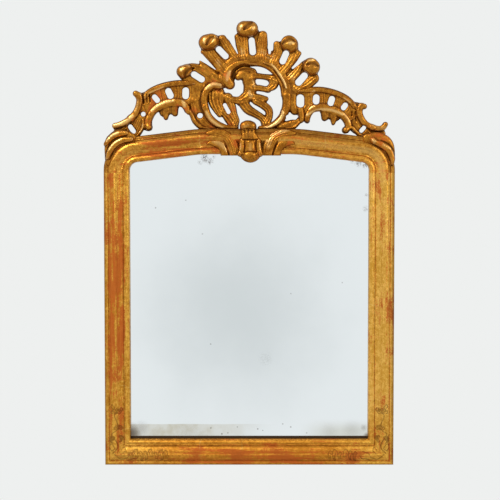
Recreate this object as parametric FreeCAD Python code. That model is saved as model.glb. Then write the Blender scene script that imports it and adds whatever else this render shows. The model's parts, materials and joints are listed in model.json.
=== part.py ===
import FreeCAD, Part
import math
import os

os.makedirs("parts", exist_ok=True)

# Sizes are in millimetres. X is to the right, Z is up from the centre of the glass.
# The wall is Y = 0 and the front faces -Y. A depth is a distance forward from the wall.

# Frame
SIGHT_WIDTH = 474.0
SIGHT_HEIGHT = 568.0        # up to the level middle of the top rail
MOULDING = 50.0
CAMBER_DEG = 7.0            # fall of the top rail towards the corners
LEVEL_HALF = 95.0           # half length of the level middle of the top rail
CAMBER_RADIUS = 300.0
CORNER_RADIUS = 16.0        # sight edge of the rounded upper corners
STUB = 5.0                  # straight end of the top rail below each corner
OUTER_SIDE = 29.0           # depth of the outer side of the moulding
OUTER_BEAD = 8.0            # width of the outer bead
OUTER_BEAD_TOP = 35.0
SHOULDER_TOP = 39.5
SIGHT_BEAD = 12.0           # width of the bead at the glass
SIGHT_BEAD_TOP = 31.5

# Glass, rebates and back
COVER = 6.0                 # how far the lip covers the edge of the glass
LIP_BACK = 17.0
GLASS_THICK = 3.5
SILVER_THICK = 0.3
SILVER_MARGIN = 2.0
GLASS_GAP = 2.0             # between the glass and the rebate wall
BOARD_LEDGE = 6.0
BOARD_THICK = 9.0
BOARD_GAP = 1.0             # round the back boards
BOARD_JOINT = 0.5           # between the back boards
BOARD_COUNT = 3
BLOCK_LENGTH = 40.0
BLOCK_WIDTH = 6.5
BLOCK_OFFSET_X = 120.0
BLOCK_OFFSET_Z = 150.0
NAIL_RADIUS = 0.9
NAIL_HEAD = 2.2
NAIL_HEAD_THICK = 0.8
NAIL_LENGTH = 20.0
NAIL_INSET = 4.1            # from the wall of the board rebate
NAIL_SPREAD = 70.0
NAIL_PITCH = 150.0

# Joints of the frame
TENON_INSET = 18.0          # from the sight edge
TENON_WIDTH = 22.0
TENON_BACK = 12.0
TENON_THICK = 10.0
TENON_LENGTH = 35.0
PEG_RADIUS = 3.0
PEG_LENGTH = 26.0
PEG_HEIGHTS = (10.0, 25.0)
KEY_LENGTH = 30.0
KEY_WAIST = 13.0
KEY_END = 19.0
KEY_DEPTH = 8.0

# Hangers
HANGER_HEIGHT = 150.0       # of the pivots above the centre of the glass
POCKET_WIDTH = 27.0
POCKET_DEPTH = 8.0
STRAP_WIDTH = 14.0
STRAP_LENGTH = 46.0
STRAP_THICK = 1.6
RING_WIRE = 1.5             # radius
RING_HALF = 9.5             # half width between the legs
RING_LEG = 8.0
PIVOT_CLEARANCE = 0.08      # radial
KNUCKLE_WALL = 1.5
KNUCKLE_LENGTH = 12.0
POCKET_ROOM = 5.0
SCREW_RADIUS = 1.6
SCREW_HEAD = 3.3
SCREW_LENGTH = 14.0
SCREW_SLOT = 0.7
SCREW_DROPS = (12.0, 37.0)  # below the pivot

# Crest
CARVING_UNIT = 1.0          # one step of the carving's drawings
CREST_BACK = 4.0
CREST_SINK = 2.0            # the crest is drawn this far into the rail and trimmed to it
FLANK = 116.0               # half width of the fan where the wings meet it
WING_SPAN = 171.0           # span that the wing strokes are drawn for
CARVING_BACK = 20.0         # back of the carving that lies over the moulding
LEAF_BACK = 6.0
SPRAY_BACK = 8.0
HEAD_SIDE = 22.0            # depth where the ball heads begin to round over
HEAD_TOP = 36.0
LEAF_FRONT = 42.0
LEAF_RIDGE_FRONT = 46.0
LEAF_RIDGE = 3.0            # half width of the ridges on the corner leaves
SHIELD_LOBE = 10.0          # radius of the lobe under the shield
LOBE_SIDE = 42.0
LOBE_TOP = 50.0
DOWEL_RADIUS = 4.0
DOWEL_REACH = 14.0
DOWEL_DEPTH = 14.0

# Values that follow from the sizes above
half_sight = SIGHT_WIDTH / 2
half_outer = half_sight + MOULDING
sight_top = SIGHT_HEIGHT / 2
sight_bottom = -SIGHT_HEIGHT / 2
camber = math.radians(CAMBER_DEG)
seat = sight_top + MOULDING
corner_sight = sight_top - (half_sight - LEVEL_HALF) * math.tan(camber)
corner_turn = math.pi / 2 - camber
corner_tangent = CORNER_RADIUS * math.tan(corner_turn / 2)
corner_x = half_sight - CORNER_RADIUS
corner_z = corner_sight - corner_tangent
corner_outer = CORNER_RADIUS + MOULDING
joint_z = corner_z - STUB
glass_half_x = half_sight + COVER
glass_half_z = sight_top + COVER
glass_wall_x = glass_half_x + GLASS_GAP
glass_wall_z = glass_half_z + GLASS_GAP
board_wall_x = glass_wall_x + BOARD_LEDGE
board_wall_z = glass_wall_z + BOARD_LEDGE
back_centre = (board_wall_x + half_outer) / 2
stretch = (half_outer - FLANK) / WING_SPAN


def vec(x, depth, z):
    return FreeCAD.Vector(x, -depth, z)


def line(a, b):
    return Part.makeLine(a, b)


def arc(a, b, c):
    return Part.Arc(a, b, c).toShape()


def box(x0, x1, back, front, z0, z1):
    return Part.makeBox(x1 - x0, front - back, z1 - z0, vec(x0, front, z0))


def rod(x, z, radius, back, front):
    return Part.makeCylinder(radius, front - back, vec(x, back, z), FreeCAD.Vector(0, -1, 0))


def prism(edges, front):
    face = Part.Face(Part.Wire(edges))
    thick = front + face.BoundBox.YMax
    return face.extrude(FreeCAD.Vector(0, -thick, 0))


def polygon(points, back, front):
    corners = [vec(x, back, z) for x, z in points]
    return prism([line(a, b) for a, b in zip(corners, corners[1:] + corners[:1])], front)


def one(shapes):
    shape = shapes[0]
    if len(shapes) > 1:
        shape = shape.multiFuse(shapes[1:])
    shape = shape.removeSplitter()
    return shape.Solids[0] if len(shape.Solids) == 1 else shape


def largest(shape):
    return max(shape.Solids, key=lambda solid: solid.Volume)


def mirrored(shape):
    return shape.mirror(FreeCAD.Vector(0, 0, 0), FreeCAD.Vector(1, 0, 0))


def save(name, shape):
    shape.exportStep("parts/" + name + ".step")


# Section of the moulding, from the sight edge outwards along the direction "turn"
def section(x, z, turn):
    def at(out, depth):
        return vec(x + out * math.cos(turn), depth, z + out * math.sin(turn))

    quirk = MOULDING - OUTER_BEAD
    band = quirk - SIGHT_BEAD
    edges = [
        line(at(0, 0), at(MOULDING, 0)),
        line(at(MOULDING, 0), at(MOULDING, OUTER_SIDE)),
        arc(
            at(MOULDING, OUTER_SIDE),
            at(MOULDING - OUTER_BEAD * 0.4, OUTER_BEAD_TOP),
            at(quirk, OUTER_SIDE + 3),
        ),
        line(at(quirk, OUTER_SIDE + 3), at(quirk - 1, OUTER_SIDE + 4)),
        arc(
            at(quirk - 1, OUTER_SIDE + 4),
            at(quirk - band * 0.26, SHOULDER_TOP),
            at(quirk - band * 0.55, SHOULDER_TOP - 3),
        ),
        arc(
            at(quirk - band * 0.55, SHOULDER_TOP - 3),
            at(quirk - band * 0.8, SIGHT_BEAD_TOP - 0.5),
            at(SIGHT_BEAD + 1.5, SIGHT_BEAD_TOP - 2.5),
        ),
        line(at(SIGHT_BEAD + 1.5, SIGHT_BEAD_TOP - 2.5), at(SIGHT_BEAD, SIGHT_BEAD_TOP - 5)),
        arc(
            at(SIGHT_BEAD, SIGHT_BEAD_TOP - 5),
            at(SIGHT_BEAD * 0.5, SIGHT_BEAD_TOP),
            at(0.5, SIGHT_BEAD_TOP - 6),
        ),
        line(at(0.5, SIGHT_BEAD_TOP - 6), at(0, SIGHT_BEAD_TOP - 7)),
        line(at(0, SIGHT_BEAD_TOP - 7), at(0, 0)),
    ]
    return Part.Face(Part.Wire(edges))


glass_rebate = box(-glass_wall_x, glass_wall_x, -1, LIP_BACK, -glass_wall_z, glass_wall_z)
board_rebate = box(-board_wall_x, board_wall_x, -1, BOARD_THICK, -board_wall_z, board_wall_z)
rebate = glass_rebate.fuse(board_rebate)


# Top rail: each half is a stub, a rounded corner, a slope, a slight bend and the level middle
def half_top_rail():
    turning = FreeCAD.Vector(0, -1, 0)
    bend_tangent = CAMBER_RADIUS * math.tan(camber / 2)
    slope_x = half_sight - corner_tangent * math.cos(camber)
    slope_z = corner_sight + corner_tangent * math.sin(camber)
    slope_length = (slope_x - LEVEL_HALF) / math.cos(camber) - bend_tangent
    bend_x = LEVEL_HALF + bend_tangent * math.cos(camber)
    bend_z = sight_top - bend_tangent * math.sin(camber)
    level_x = LEVEL_HALF - bend_tangent
    stub = section(half_sight, joint_z, 0).extrude(vec(0, 0, STUB))
    centre = vec(corner_x, 0, corner_z)
    corner = section(half_sight, corner_z, 0).revolve(centre, turning, math.degrees(corner_turn))
    along = vec(-math.cos(camber), 0, math.sin(camber))
    slope = section(slope_x, slope_z, corner_turn).extrude(along * slope_length)
    bend_centre = vec(level_x, 0, sight_top - CAMBER_RADIUS)
    bend = section(bend_x, bend_z, corner_turn).revolve(bend_centre, turning, CAMBER_DEG)
    level = section(level_x, sight_top, math.pi / 2).extrude(vec(-level_x, 0, 0))
    return [stub, corner, slope, bend, level]


right_half = half_top_rail()
rail_blank = one(right_half + [mirrored(piece) for piece in right_half])


# Everything under the upper edge of the frame, used to seat the crest
def under_rail():
    bend_tangent = CAMBER_RADIUS * math.tan(camber / 2)
    outer_radius = CAMBER_RADIUS + MOULDING
    level_x = LEVEL_HALF - bend_tangent
    bend_centre_z = sight_top - CAMBER_RADIUS

    def bend_point(angle):
        x = level_x + outer_radius * math.sin(angle)
        return vec(x, -10, bend_centre_z + outer_radius * math.cos(angle))

    def corner_point(angle):
        x = corner_x + corner_outer * math.cos(angle)
        return vec(x, -10, corner_z + corner_outer * math.sin(angle))

    edges = [line(vec(0, -10, seat), vec(level_x, -10, seat))]
    edges.append(arc(bend_point(0), bend_point(camber / 2), bend_point(camber)))
    edges.append(line(bend_point(camber), corner_point(corner_turn)))
    edges.append(arc(corner_point(corner_turn), corner_point(corner_turn / 2), corner_point(0)))
    edges.append(line(corner_point(0), vec(half_outer, -10, 0)))
    edges.append(line(vec(half_outer, -10, 0), vec(0, -10, 0)))
    edges.append(line(vec(0, -10, 0), vec(0, -10, seat)))
    half = prism(edges, 90)
    return half.fuse(mirrored(half))


rail_block = under_rail()


def rail_top(x):
    return seat - max(0, abs(x) - LEVEL_HALF) * math.tan(camber)


# Bottom rail and stiles, mitred at the lower corners
def mitre(side, upper):
    inner = (half_sight - 1, sight_bottom + 1)
    outer = (half_outer + 1, sight_bottom - MOULDING - 1)
    third = (outer[0], inner[1]) if upper else (inner[0], outer[1])
    return polygon([(side * x, z) for x, z in (inner, outer, third)], -1, SHOULDER_TOP + 1)


bottom_rail = section(-half_outer, sight_bottom, -math.pi / 2).extrude(vec(2 * half_outer, 0, 0))
bottom_rail = bottom_rail.cut(mitre(1, True)).cut(mitre(-1, True)).cut(rebate)
stile_foot = sight_bottom - MOULDING
stile = section(half_sight, stile_foot, 0).extrude(vec(0, 0, joint_z - stile_foot))
stile = stile.cut(mitre(1, False)).cut(rebate)

tenon_x = half_sight + TENON_INSET
tenon = box(
    tenon_x,
    tenon_x + TENON_WIDTH,
    TENON_BACK,
    TENON_BACK + TENON_THICK,
    joint_z,
    joint_z + TENON_LENGTH,
)
stile = one([stile, tenon])
pegs = [rod(tenon_x + TENON_WIDTH / 2, joint_z + rise, PEG_RADIUS, 0, PEG_LENGTH) for rise in PEG_HEIGHTS]

key_x = back_centre
key_z = sight_bottom - (key_x - half_sight)
key_outline = [
    (-KEY_LENGTH / 2, -KEY_END / 2),
    (0, -KEY_WAIST / 2),
    (KEY_LENGTH / 2, -KEY_END / 2),
    (KEY_LENGTH / 2, KEY_END / 2),
    (0, KEY_WAIST / 2),
    (-KEY_LENGTH / 2, KEY_END / 2),
]
diagonal = math.sqrt(0.5)
key = polygon(
    [(key_x + diagonal * (a - b), key_z + diagonal * (a + b)) for a, b in key_outline], 0, KEY_DEPTH
)

# Hangers in pockets in the stiles
pivot_depth = POCKET_DEPTH - STRAP_THICK - RING_WIRE - PIVOT_CLEARANCE - KNUCKLE_WALL
ring_reach = RING_LEG + RING_HALF + RING_WIRE
pocket_top = HANGER_HEIGHT + ring_reach + POCKET_ROOM
pocket_bottom = HANGER_HEIGHT - STRAP_LENGTH - POCKET_ROOM
pocket = box(
    back_centre - POCKET_WIDTH / 2,
    back_centre + POCKET_WIDTH / 2,
    -1,
    POCKET_DEPTH,
    pocket_bottom,
    pocket_top,
)


def cross_rod(radius, length):
    start = vec(back_centre - length / 2, pivot_depth, HANGER_HEIGHT)
    return Part.makeCylinder(radius, length, start, FreeCAD.Vector(1, 0, 0))


def screw(z):
    plate_face = POCKET_DEPTH - STRAP_THICK
    start = vec(back_centre, plate_face, z)
    head = Part.makeCone(SCREW_HEAD, SCREW_RADIUS, STRAP_THICK, start, FreeCAD.Vector(0, -1, 0))
    shank = rod(back_centre, z, SCREW_RADIUS, POCKET_DEPTH, plate_face + SCREW_LENGTH)
    slot = box(
        back_centre - SCREW_HEAD,
        back_centre + SCREW_HEAD,
        plate_face - 1,
        plate_face + SCREW_SLOT,
        z - SCREW_SLOT / 2,
        z + SCREW_SLOT / 2,
    )
    whole = one([head, shank])
    return whole, whole.cut(slot)


screws = [screw(HANGER_HEIGHT - drop) for drop in SCREW_DROPS]
strap = box(
    back_centre - STRAP_WIDTH / 2,
    back_centre + STRAP_WIDTH / 2,
    POCKET_DEPTH - STRAP_THICK,
    POCKET_DEPTH,
    HANGER_HEIGHT - STRAP_LENGTH,
    HANGER_HEIGHT + RING_WIRE,
)
knuckle_radius = RING_WIRE + PIVOT_CLEARANCE + KNUCKLE_WALL
web = box(
    back_centre - KNUCKLE_LENGTH / 2,
    back_centre + KNUCKLE_LENGTH / 2,
    pivot_depth,
    POCKET_DEPTH - STRAP_THICK / 2,
    HANGER_HEIGHT - RING_WIRE,
    HANGER_HEIGHT + RING_WIRE,
)
strap = one([strap, web, cross_rod(knuckle_radius, KNUCKLE_LENGTH)])
strap = strap.cut(cross_rod(RING_WIRE + PIVOT_CLEARANCE, 3 * STRAP_WIDTH))
for whole, slotted in screws:
    strap = strap.cut(whole)


def d_ring():
    pivot = vec(back_centre, pivot_depth, HANGER_HEIGHT)
    pieces = [cross_rod(RING_WIRE, 2 * RING_HALF)]
    for side in (-1, 1):
        top = pivot + vec(side * RING_HALF, 0, 0)
        pieces.append(Part.makeSphere(RING_WIRE, top))
        pieces.append(Part.makeCylinder(RING_WIRE, RING_LEG, top, FreeCAD.Vector(0, 0, -1)))
    leg_end = pivot + vec(RING_HALF, 0, -RING_LEG)
    circle = Part.makeCircle(RING_WIRE, leg_end, FreeCAD.Vector(0, 0, 1))
    bow_centre = pivot + vec(0, 0, -RING_LEG)
    bow = Part.Face(Part.Wire(circle)).revolve(bow_centre, FreeCAD.Vector(0, 1, 0), 180)
    return one(pieces + [bow])


ring = d_ring()
stile = stile.cut(pocket).cut(key)
for whole, slotted in screws:
    stile = stile.cut(whole)
for peg in pegs:
    stile = stile.cut(peg)
bottom_rail = bottom_rail.cut(key).cut(mirrored(key))

# Back boards with their nails
board_half_x = board_wall_x - BOARD_GAP
board_step = (2 * (board_wall_z - BOARD_GAP) + BOARD_JOINT) / BOARD_COUNT
board_height = board_step - BOARD_JOINT
board_centres = [board_step * (row - (BOARD_COUNT - 1) / 2) for row in range(BOARD_COUNT)]
boards = [
    box(-board_half_x, board_half_x, 0, BOARD_THICK, z - board_height / 2, z + board_height / 2)
    for z in board_centres
]


def nail(x, z):
    head = rod(x, z, NAIL_HEAD, 0, NAIL_HEAD_THICK)
    return one([head, rod(x, z, NAIL_RADIUS, NAIL_HEAD_THICK, NAIL_LENGTH)])


nail_x = board_wall_x - NAIL_INSET
nail_z = board_wall_z - NAIL_INSET
nails = [nail(s * nail_x, z + t * NAIL_SPREAD) for z in board_centres for s in (-1, 1) for t in (-1, 1)]
nails += [nail(k * NAIL_PITCH, s * nail_z) for s in (-1, 1) for k in (-1, 0, 1)]
all_nails = Part.makeCompound(nails)
boards = [board.cut(all_nails) for board in boards]
bottom_rail = bottom_rail.cut(all_nails)
left_stile = mirrored(stile).cut(all_nails)
right_stile = stile.cut(all_nails)

# Glass, its tin layer and the blocks that hold it
glass_back = LIP_BACK - GLASS_THICK
silver_back = glass_back - SILVER_THICK
glass = box(-glass_half_x, glass_half_x, glass_back, LIP_BACK, -glass_half_z, glass_half_z)
silver_x = glass_half_x - SILVER_MARGIN
silver_z = glass_half_z - SILVER_MARGIN
silvering = box(-silver_x, silver_x, silver_back, glass_back, -silver_z, silver_z)
blocks = []
for s in (-1, 1):
    x0, x1 = sorted((s * glass_wall_x, s * (glass_wall_x - BLOCK_WIDTH)))
    z0, z1 = sorted((s * glass_wall_z, s * (glass_wall_z - BLOCK_WIDTH)))
    for t in (-1, 1):
        z = t * BLOCK_OFFSET_Z
        x = t * BLOCK_OFFSET_X
        blocks.append(box(x0, x1, BOARD_THICK, silver_back, z - BLOCK_LENGTH / 2, z + BLOCK_LENGTH / 2))
        blocks.append(box(x - BLOCK_LENGTH / 2, x + BLOCK_LENGTH / 2, BOARD_THICK, silver_back, z0, z1))
    x = s * BLOCK_OFFSET_X
    half_block = BLOCK_LENGTH / 2
    blocks.append(box(x - half_block, x + half_block, glass_back, LIP_BACK, -glass_wall_z, -glass_half_z))


# Carving: a stroke is a list of (x, z, half width), cut as a ribbon of even depth
def stroke_edges(points, back):
    if len(points) == 2:
        ways = [(points[1][0] - points[0][0], points[1][1] - points[0][1])] * 2
    else:
        before = [points[0]] + points[:-1]
        after = points[1:] + [points[-1]]
        ways = [(b[0] - a[0], b[1] - a[1]) for a, b in zip(before, after)]
    left, right, tips = [], [], []
    for (x, z, w), (dx, dz) in zip(points, ways):
        size = math.hypot(dx, dz)
        tx, tz = dx / size, dz / size
        left.append(vec(x - w * tz, back, z + w * tx))
        right.append(vec(x + w * tz, back, z - w * tx))
        tips.append((vec(x - w * tx, back, z - w * tz), vec(x + w * tx, back, z + w * tz)))
    sides = []
    for row in (left, right[::-1]):
        if len(row) == 2:
            sides.append(line(row[0], row[1]))
        else:
            curve = Part.BSplineCurve()
            curve.interpolate(row)
            sides.append(curve.toShape())
    end = arc(left[-1], tips[-1][1], right[-1])
    start = arc(right[0], tips[0][0], left[0])
    return [sides[0], end, sides[1], start]


def ribbon(points, place, back, front):
    placed = [place(x, z) + (w * CARVING_UNIT,) for x, z, w in points]
    return prism(stroke_edges(placed, back), front)


# A ball head: a round boss with a domed top
def boss(x, z, radius, back, side, top):
    low = vec(x, back, z)
    rise = top - side
    ball = (radius * radius + rise * rise) / (2 * rise)
    middle = radius / 2
    middle_depth = top - ball + math.sqrt(ball * ball - middle * middle)
    edges = [
        line(low, vec(x + radius, back, z)),
        line(vec(x + radius, back, z), vec(x + radius, side, z)),
        arc(vec(x + radius, side, z), vec(x + middle, middle_depth, z), vec(x, top, z)),
        line(vec(x, top, z), low),
    ]
    return Part.Face(Part.Wire(edges)).revolve(low, FreeCAD.Vector(0, 1, 0), 360)


def on_crest(x, z):
    return x * CARVING_UNIT, seat + z * CARVING_UNIT - CREST_SINK


def on_wing(side):
    def place(out, rise):
        x = FLANK + CARVING_UNIT * (out * stretch if out > 0 else out)
        return side * x, rail_top(x) + rise * CARVING_UNIT - CREST_SINK

    return place


def carve(strokes, place, back):
    return [ribbon(points, place, back, front * CARVING_UNIT) for front, points in strokes]


# Fan: ring, feet and five petals, drawn from the middle of the rail's upper edge.
# A row is the depth of the front and the points of the stroke, in steps of the drawing.
fan_strokes = [
    (27, [(-37, 85, 12), (-46, 98, 13), (-46, 112, 13), (-37, 126, 12), (-19, 135, 10), (1, 136, 10)]),
    (27, [(1, 136, 10), (25, 135, 10), (45, 126, 10), (60, 110, 9), (70, 90, 9), (74, 66, 8.5)]),
    (27, [(74, 66, 8.5), (73, 46, 8.5), (67, 28, 8), (54, 14, 7), (37, 4, 6)]),
    (30, [(-59, 86, 5), (-71, 87, 6), (-82, 78, 6), (-87, 62, 6.5), (-84, 44, 6.5)]),
    (30, [(-84, 44, 6.5), (-75, 27, 6.5), (-61, 14, 6.5), (-43, 5, 6)]),
    (20, [(-102, 82, 14), (-103, 64, 17), (-101, 44, 17), (-93, 22, 16), (-76, 6, 14), (-58, 0, 12)]),
    (20, [(81, 88, 14), (83, 58, 14), (83, 38, 14)]),
    (24, [(98, 17, 6), (81, 9, 10), (61, 2, 10)]),
    (28, [(101, 42, 7), (103, 30, 7), (104, 19, 5)]),
    (24, [(-127, 126, 8), (-111, 125, 8), (-93, 119, 12.5), (-75, 106, 14), (-59, 92, 14)]),
    (23, [(-127, 104, 9), (-113, 94, 8.5), (-95, 84, 8.5)]),
    (24, [(-83, 160, 9), (-69, 141, 10), (-53, 122, 11), (-46, 114, 11)]),
    (20, [(-92, 153, 4.5), (-77, 139, 7), (-61, 121, 6.5)]),
    (23, [(-54, 178, 7), (-41, 158, 9), (-30, 141, 8.5)]),
    (24, [(-11, 184, 8), (-10, 164, 8.5), (-10, 144, 9.5)]),
    (20, [(-25, 183, 4.5), (-19, 167, 6), (-14, 149, 6.5)]),
    (23, [(27, 186, 8.5), (25, 166, 11.5), (24, 144, 12)]),
    (23, [(54, 168, 6.5), (56, 150, 10.5), (51, 132, 10)]),
    (24, [(88, 156, 9), (84, 140, 10), (74, 125, 8.5), (62, 111, 8)]),
    (20, [(99, 149, 4), (90, 134, 6)]),
    (23, [(101, 127, 6), (93, 114, 8.5), (79, 98, 9)]),
    (24, [(128, 106, 9), (113, 92, 10), (95, 80, 10)]),
]
fan_heads = [
    (-130, 116, 13),
    (-81, 174, 16.5),
    (-14, 199, 15),
    (5, 199, 15),
    (79, 171, 17),
    (123, 125, 16.5),
]
fan_links = [
    (21, [(-70, 176, 8), (-54, 178, 7)]),
    (21, [(12, 189, 7), (26, 182, 7)]),
    (21, [(68, 166, 7), (55, 165, 6)]),
    (21, [(112, 128, 8), (101, 127, 6)]),
]
fan_holes = [(-98, 28, 5)]

fan = carve(fan_strokes + fan_links, on_crest, CREST_BACK)
for x, z, radius in fan_heads:
    fan.append(boss(*on_crest(x, z), radius * CARVING_UNIT, CREST_BACK, HEAD_SIDE, HEAD_TOP))
fan = one(fan)
for x, z, radius in fan_holes:
    fan = fan.cut(rod(*on_crest(x, z), radius * CARVING_UNIT, 0, HEAD_TOP))
fan = largest(fan.cut(rail_block))

# Leaves in the ring
left_spray_strokes = [
    (20, [(-73, 75, 8.5), (-72, 56, 8.5), (-66, 40, 7), (-59, 29, 4)]),
    (18, [(-59, 75, 8.5), (-58, 56, 7), (-53, 39, 5)]),
    (20, [(-42, 64, 8), (-36, 46, 8.5), (-31, 30, 7), (-26, 17, 6), (-30, 6, 5)]),
    (18, [(-66, 70, 8), (-50, 67, 8), (-40, 64, 7)]),
    (17, [(-42, 29, 6), (-35, 20, 6.5)]),
]
right_spray_strokes = [
    (22, [(-36, 61, 7), (-25, 59, 7), (-15, 59, 8.5), (-2, 69, 10.5), (1, 86, 11), (-2, 101, 11)]),
    (24, [(-2, 101, 11), (-12, 109, 9), (-22, 104, 6)]),
    (20, [(-22, 113, 6), (-9, 118, 7), (7, 114, 6.5)]),
    (20, [(5, 107, 6.5), (25, 105, 5), (43, 102, 6), (59, 97, 6)]),
    (23, [(49, 98, 9), (47, 88, 8.5), (38, 80, 5)]),
    (20, [(5, 83, 6), (21, 82, 5.5), (36, 79, 5)]),
    (20, [(3, 65, 7), (19, 63, 6.5), (33, 61, 4.5)]),
    (21, [(-13, 54, 9), (-2, 40, 8.5), (13, 31, 7), (25, 23, 6.5), (33, 11, 6)]),
    (23, [(13, 57, 7), (27, 49, 7), (38, 39, 7), (39, 25, 6.5), (32, 10, 7)]),
]
left_spray = one(carve(left_spray_strokes, on_crest, SPRAY_BACK)).cut(fan)
right_spray = one(carve(right_spray_strokes, on_crest, SPRAY_BACK)).cut(fan)
left_spray = largest(left_spray.cut(rail_block))
right_spray = largest(right_spray.cut(rail_block).cut(left_spray))

# Wings: a stroke is (distance out from the fan, height above the rail, half width)
left_wing_strokes = [
    (24, [(91, 79, 4.5), (82, 88, 5), (67, 94, 5), (47, 98, 4.5), (27, 98, 4.5), (-4, 94, 4.5)]),
    (19, [(88, 81, 8), (87, 63, 10)]),
    (18, [(55, 91, 8), (53, 59, 9)]),
    (18, [(82, 60, 9), (70, 57, 8)]),
    (18, [(25, 96, 9), (25, 60, 9)]),
    (18, [(2, 93, 3), (2, 55, 4)]),
    (26, [(-4, 58, 6.5), (23, 58, 6), (43, 59, 6), (59, 56, 6),
          (71, 48, 6), (78, 38, 6), (82, 27, 6), (81, 17, 5)]),
    (20, [(10, 56, 7), (8, 42, 4.5)]),
    (20, [(55, 53, 6), (55, 42, 5.5), (56, 36, 3)]),
    (21, [(47, 52, 6), (48, 36, 6), (49, 27, 2.5)]),
    (20, [(37, 51, 6), (37, 38, 5), (39, 31, 2.5)]),
    (21, [(27, 52, 6), (27, 39, 5), (30, 31, 2.5)]),
    (27, [(110, 89, 3), (105, 85, 5.5), (103, 74, 5), (105, 62, 4.5), (110, 51, 5), (119, 41, 5)]),
    (27, [(119, 41, 5), (131, 34, 5), (143, 30, 5), (151, 28, 5)]),
    (20, [(90, 76, 12), (91, 60, 13), (91, 45, 13), (86, 31, 8)]),
    (22, [(100, 39, 9), (101, 23, 8.5), (109, 11, 7), (117, 3, 5)]),
    (20, [(104, 46, 7), (113, 36, 6)]),
    (20, [(116, 32, 6), (127, 23, 7), (131, 12, 8), (121, 3, 6)]),
]
right_wing_strokes = [
    (24, [(91, 60, 4.5), (86, 68, 5), (75, 76, 5), (57, 82, 5),
          (37, 85, 4.5), (17, 85, 4.5), (-3, 81, 4.5), (-23, 76, 5)]),
    (18, [(1, 79, 8), (1, 47, 8)]),
    (18, [(31, 82, 8.5), (32, 51, 8.5)]),
    (18, [(59, 80, 6.5), (58, 48, 7)]),
    (18, [(85, 65, 5.5), (79, 46, 6.5)]),
    (26, [(-17, 40, 6.5), (1, 44, 6), (17, 47, 6), (37, 48, 6), (55, 44, 6),
          (67, 38, 6), (76, 28, 6), (78, 18, 6), (74, 10, 5)]),
    (22, [(-5, 36, 5), (-4, 25, 5), (-1, 19, 3.5)]),
    (20, [(31, 44, 6), (33, 31, 5.5), (33, 23, 2.5)]),
    (21, [(42, 44, 6), (42, 33, 5), (41, 27, 2.5)]),
    (20, [(50, 42, 6), (51, 27, 5.5), (50, 17, 2)]),
    (21, [(57, 40, 5), (57, 28, 4), (55, 23, 2)]),
    (27, [(113, 63, 3.5), (107, 62, 6), (103, 51, 5.5), (106, 40, 5), (114, 30, 5), (127, 24, 4.5)]),
    (27, [(127, 24, 4.5), (141, 23, 4), (151, 26, 4.5), (155, 32, 4)]),
    (20, [(96, 62, 7), (93, 48, 11), (91, 32, 12), (95, 18, 10)]),
    (24, [(88, 17, 4), (99, 7, 4), (113, 0, 4)]),
    (20, [(115, 20, 6), (131, 13, 8), (147, 13, 7)]),
]
left_wing_holes = [(94, 45, 4.5)]


def wing(strokes, side, holes):
    shape = one(carve(strokes, on_wing(side), CREST_BACK))
    for out, rise, radius in holes:
        x, z = on_wing(side)(out, rise)
        shape = shape.cut(rod(x, z, radius * CARVING_UNIT, 0, HEAD_TOP))
    return largest(shape.cut(fan).cut(rail_block))


left_wing = wing(left_wing_strokes, -1, left_wing_holes)
right_wing = wing(right_wing_strokes, 1, [])


# Corner leaves: (angle up from level, distance beyond the rounded outer corner)
left_leaf_outer = [(4, 2), (27, 12), (38, 21), (48, 30), (56, 33), (65, 29), (74, 22), (82, 5)]
right_leaf_outer = [(4, 2), (27, 11), (39, 19), (49, 25), (60, 24), (71, 20), (80, 5)]
leaf_inner = [(84, -14), (72, -12), (58, -9), (46, -6), (33, -5), (16, -4)]
leaf_ridges = [
    [(14, -1), (32, 3), (48, 4), (64, 1), (78, -5)],
    [(24, 6), (38, 12), (52, 14), (68, 10)],
]


def leaf_point(side, angle, beyond):
    radius = corner_outer + beyond * CARVING_UNIT
    turn = math.radians(angle)
    return side * (corner_x + radius * math.cos(turn)), corner_z + radius * math.sin(turn)


def corner_leaf(side, leaf_outer, wing_shape):
    rows = []
    for row in (leaf_outer, leaf_inner):
        curve = Part.BSplineCurve()
        spots = [leaf_point(side, angle, beyond) for angle, beyond in row]
        curve.interpolate([vec(x, LEAF_BACK, z) for x, z in spots])
        rows.append(curve.toShape())
    outer, inner = rows
    edges = [
        outer,
        line(outer.valueAt(outer.LastParameter), inner.valueAt(inner.FirstParameter)),
        inner,
        line(inner.valueAt(inner.LastParameter), outer.valueAt(outer.FirstParameter)),
    ]
    pieces = [prism(edges, LEAF_FRONT)]
    for row in leaf_ridges:
        spots = [leaf_point(side, angle, beyond) + (LEAF_RIDGE,) for angle, beyond in row]
        pieces.append(prism(stroke_edges(spots, CARVING_BACK), LEAF_RIDGE_FRONT))
    return largest(one(pieces).cut(rail_blank).cut(wing_shape))


left_corner_leaf = corner_leaf(-1, left_leaf_outer, left_wing)
right_corner_leaf = corner_leaf(1, right_leaf_outer, right_wing)

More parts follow.
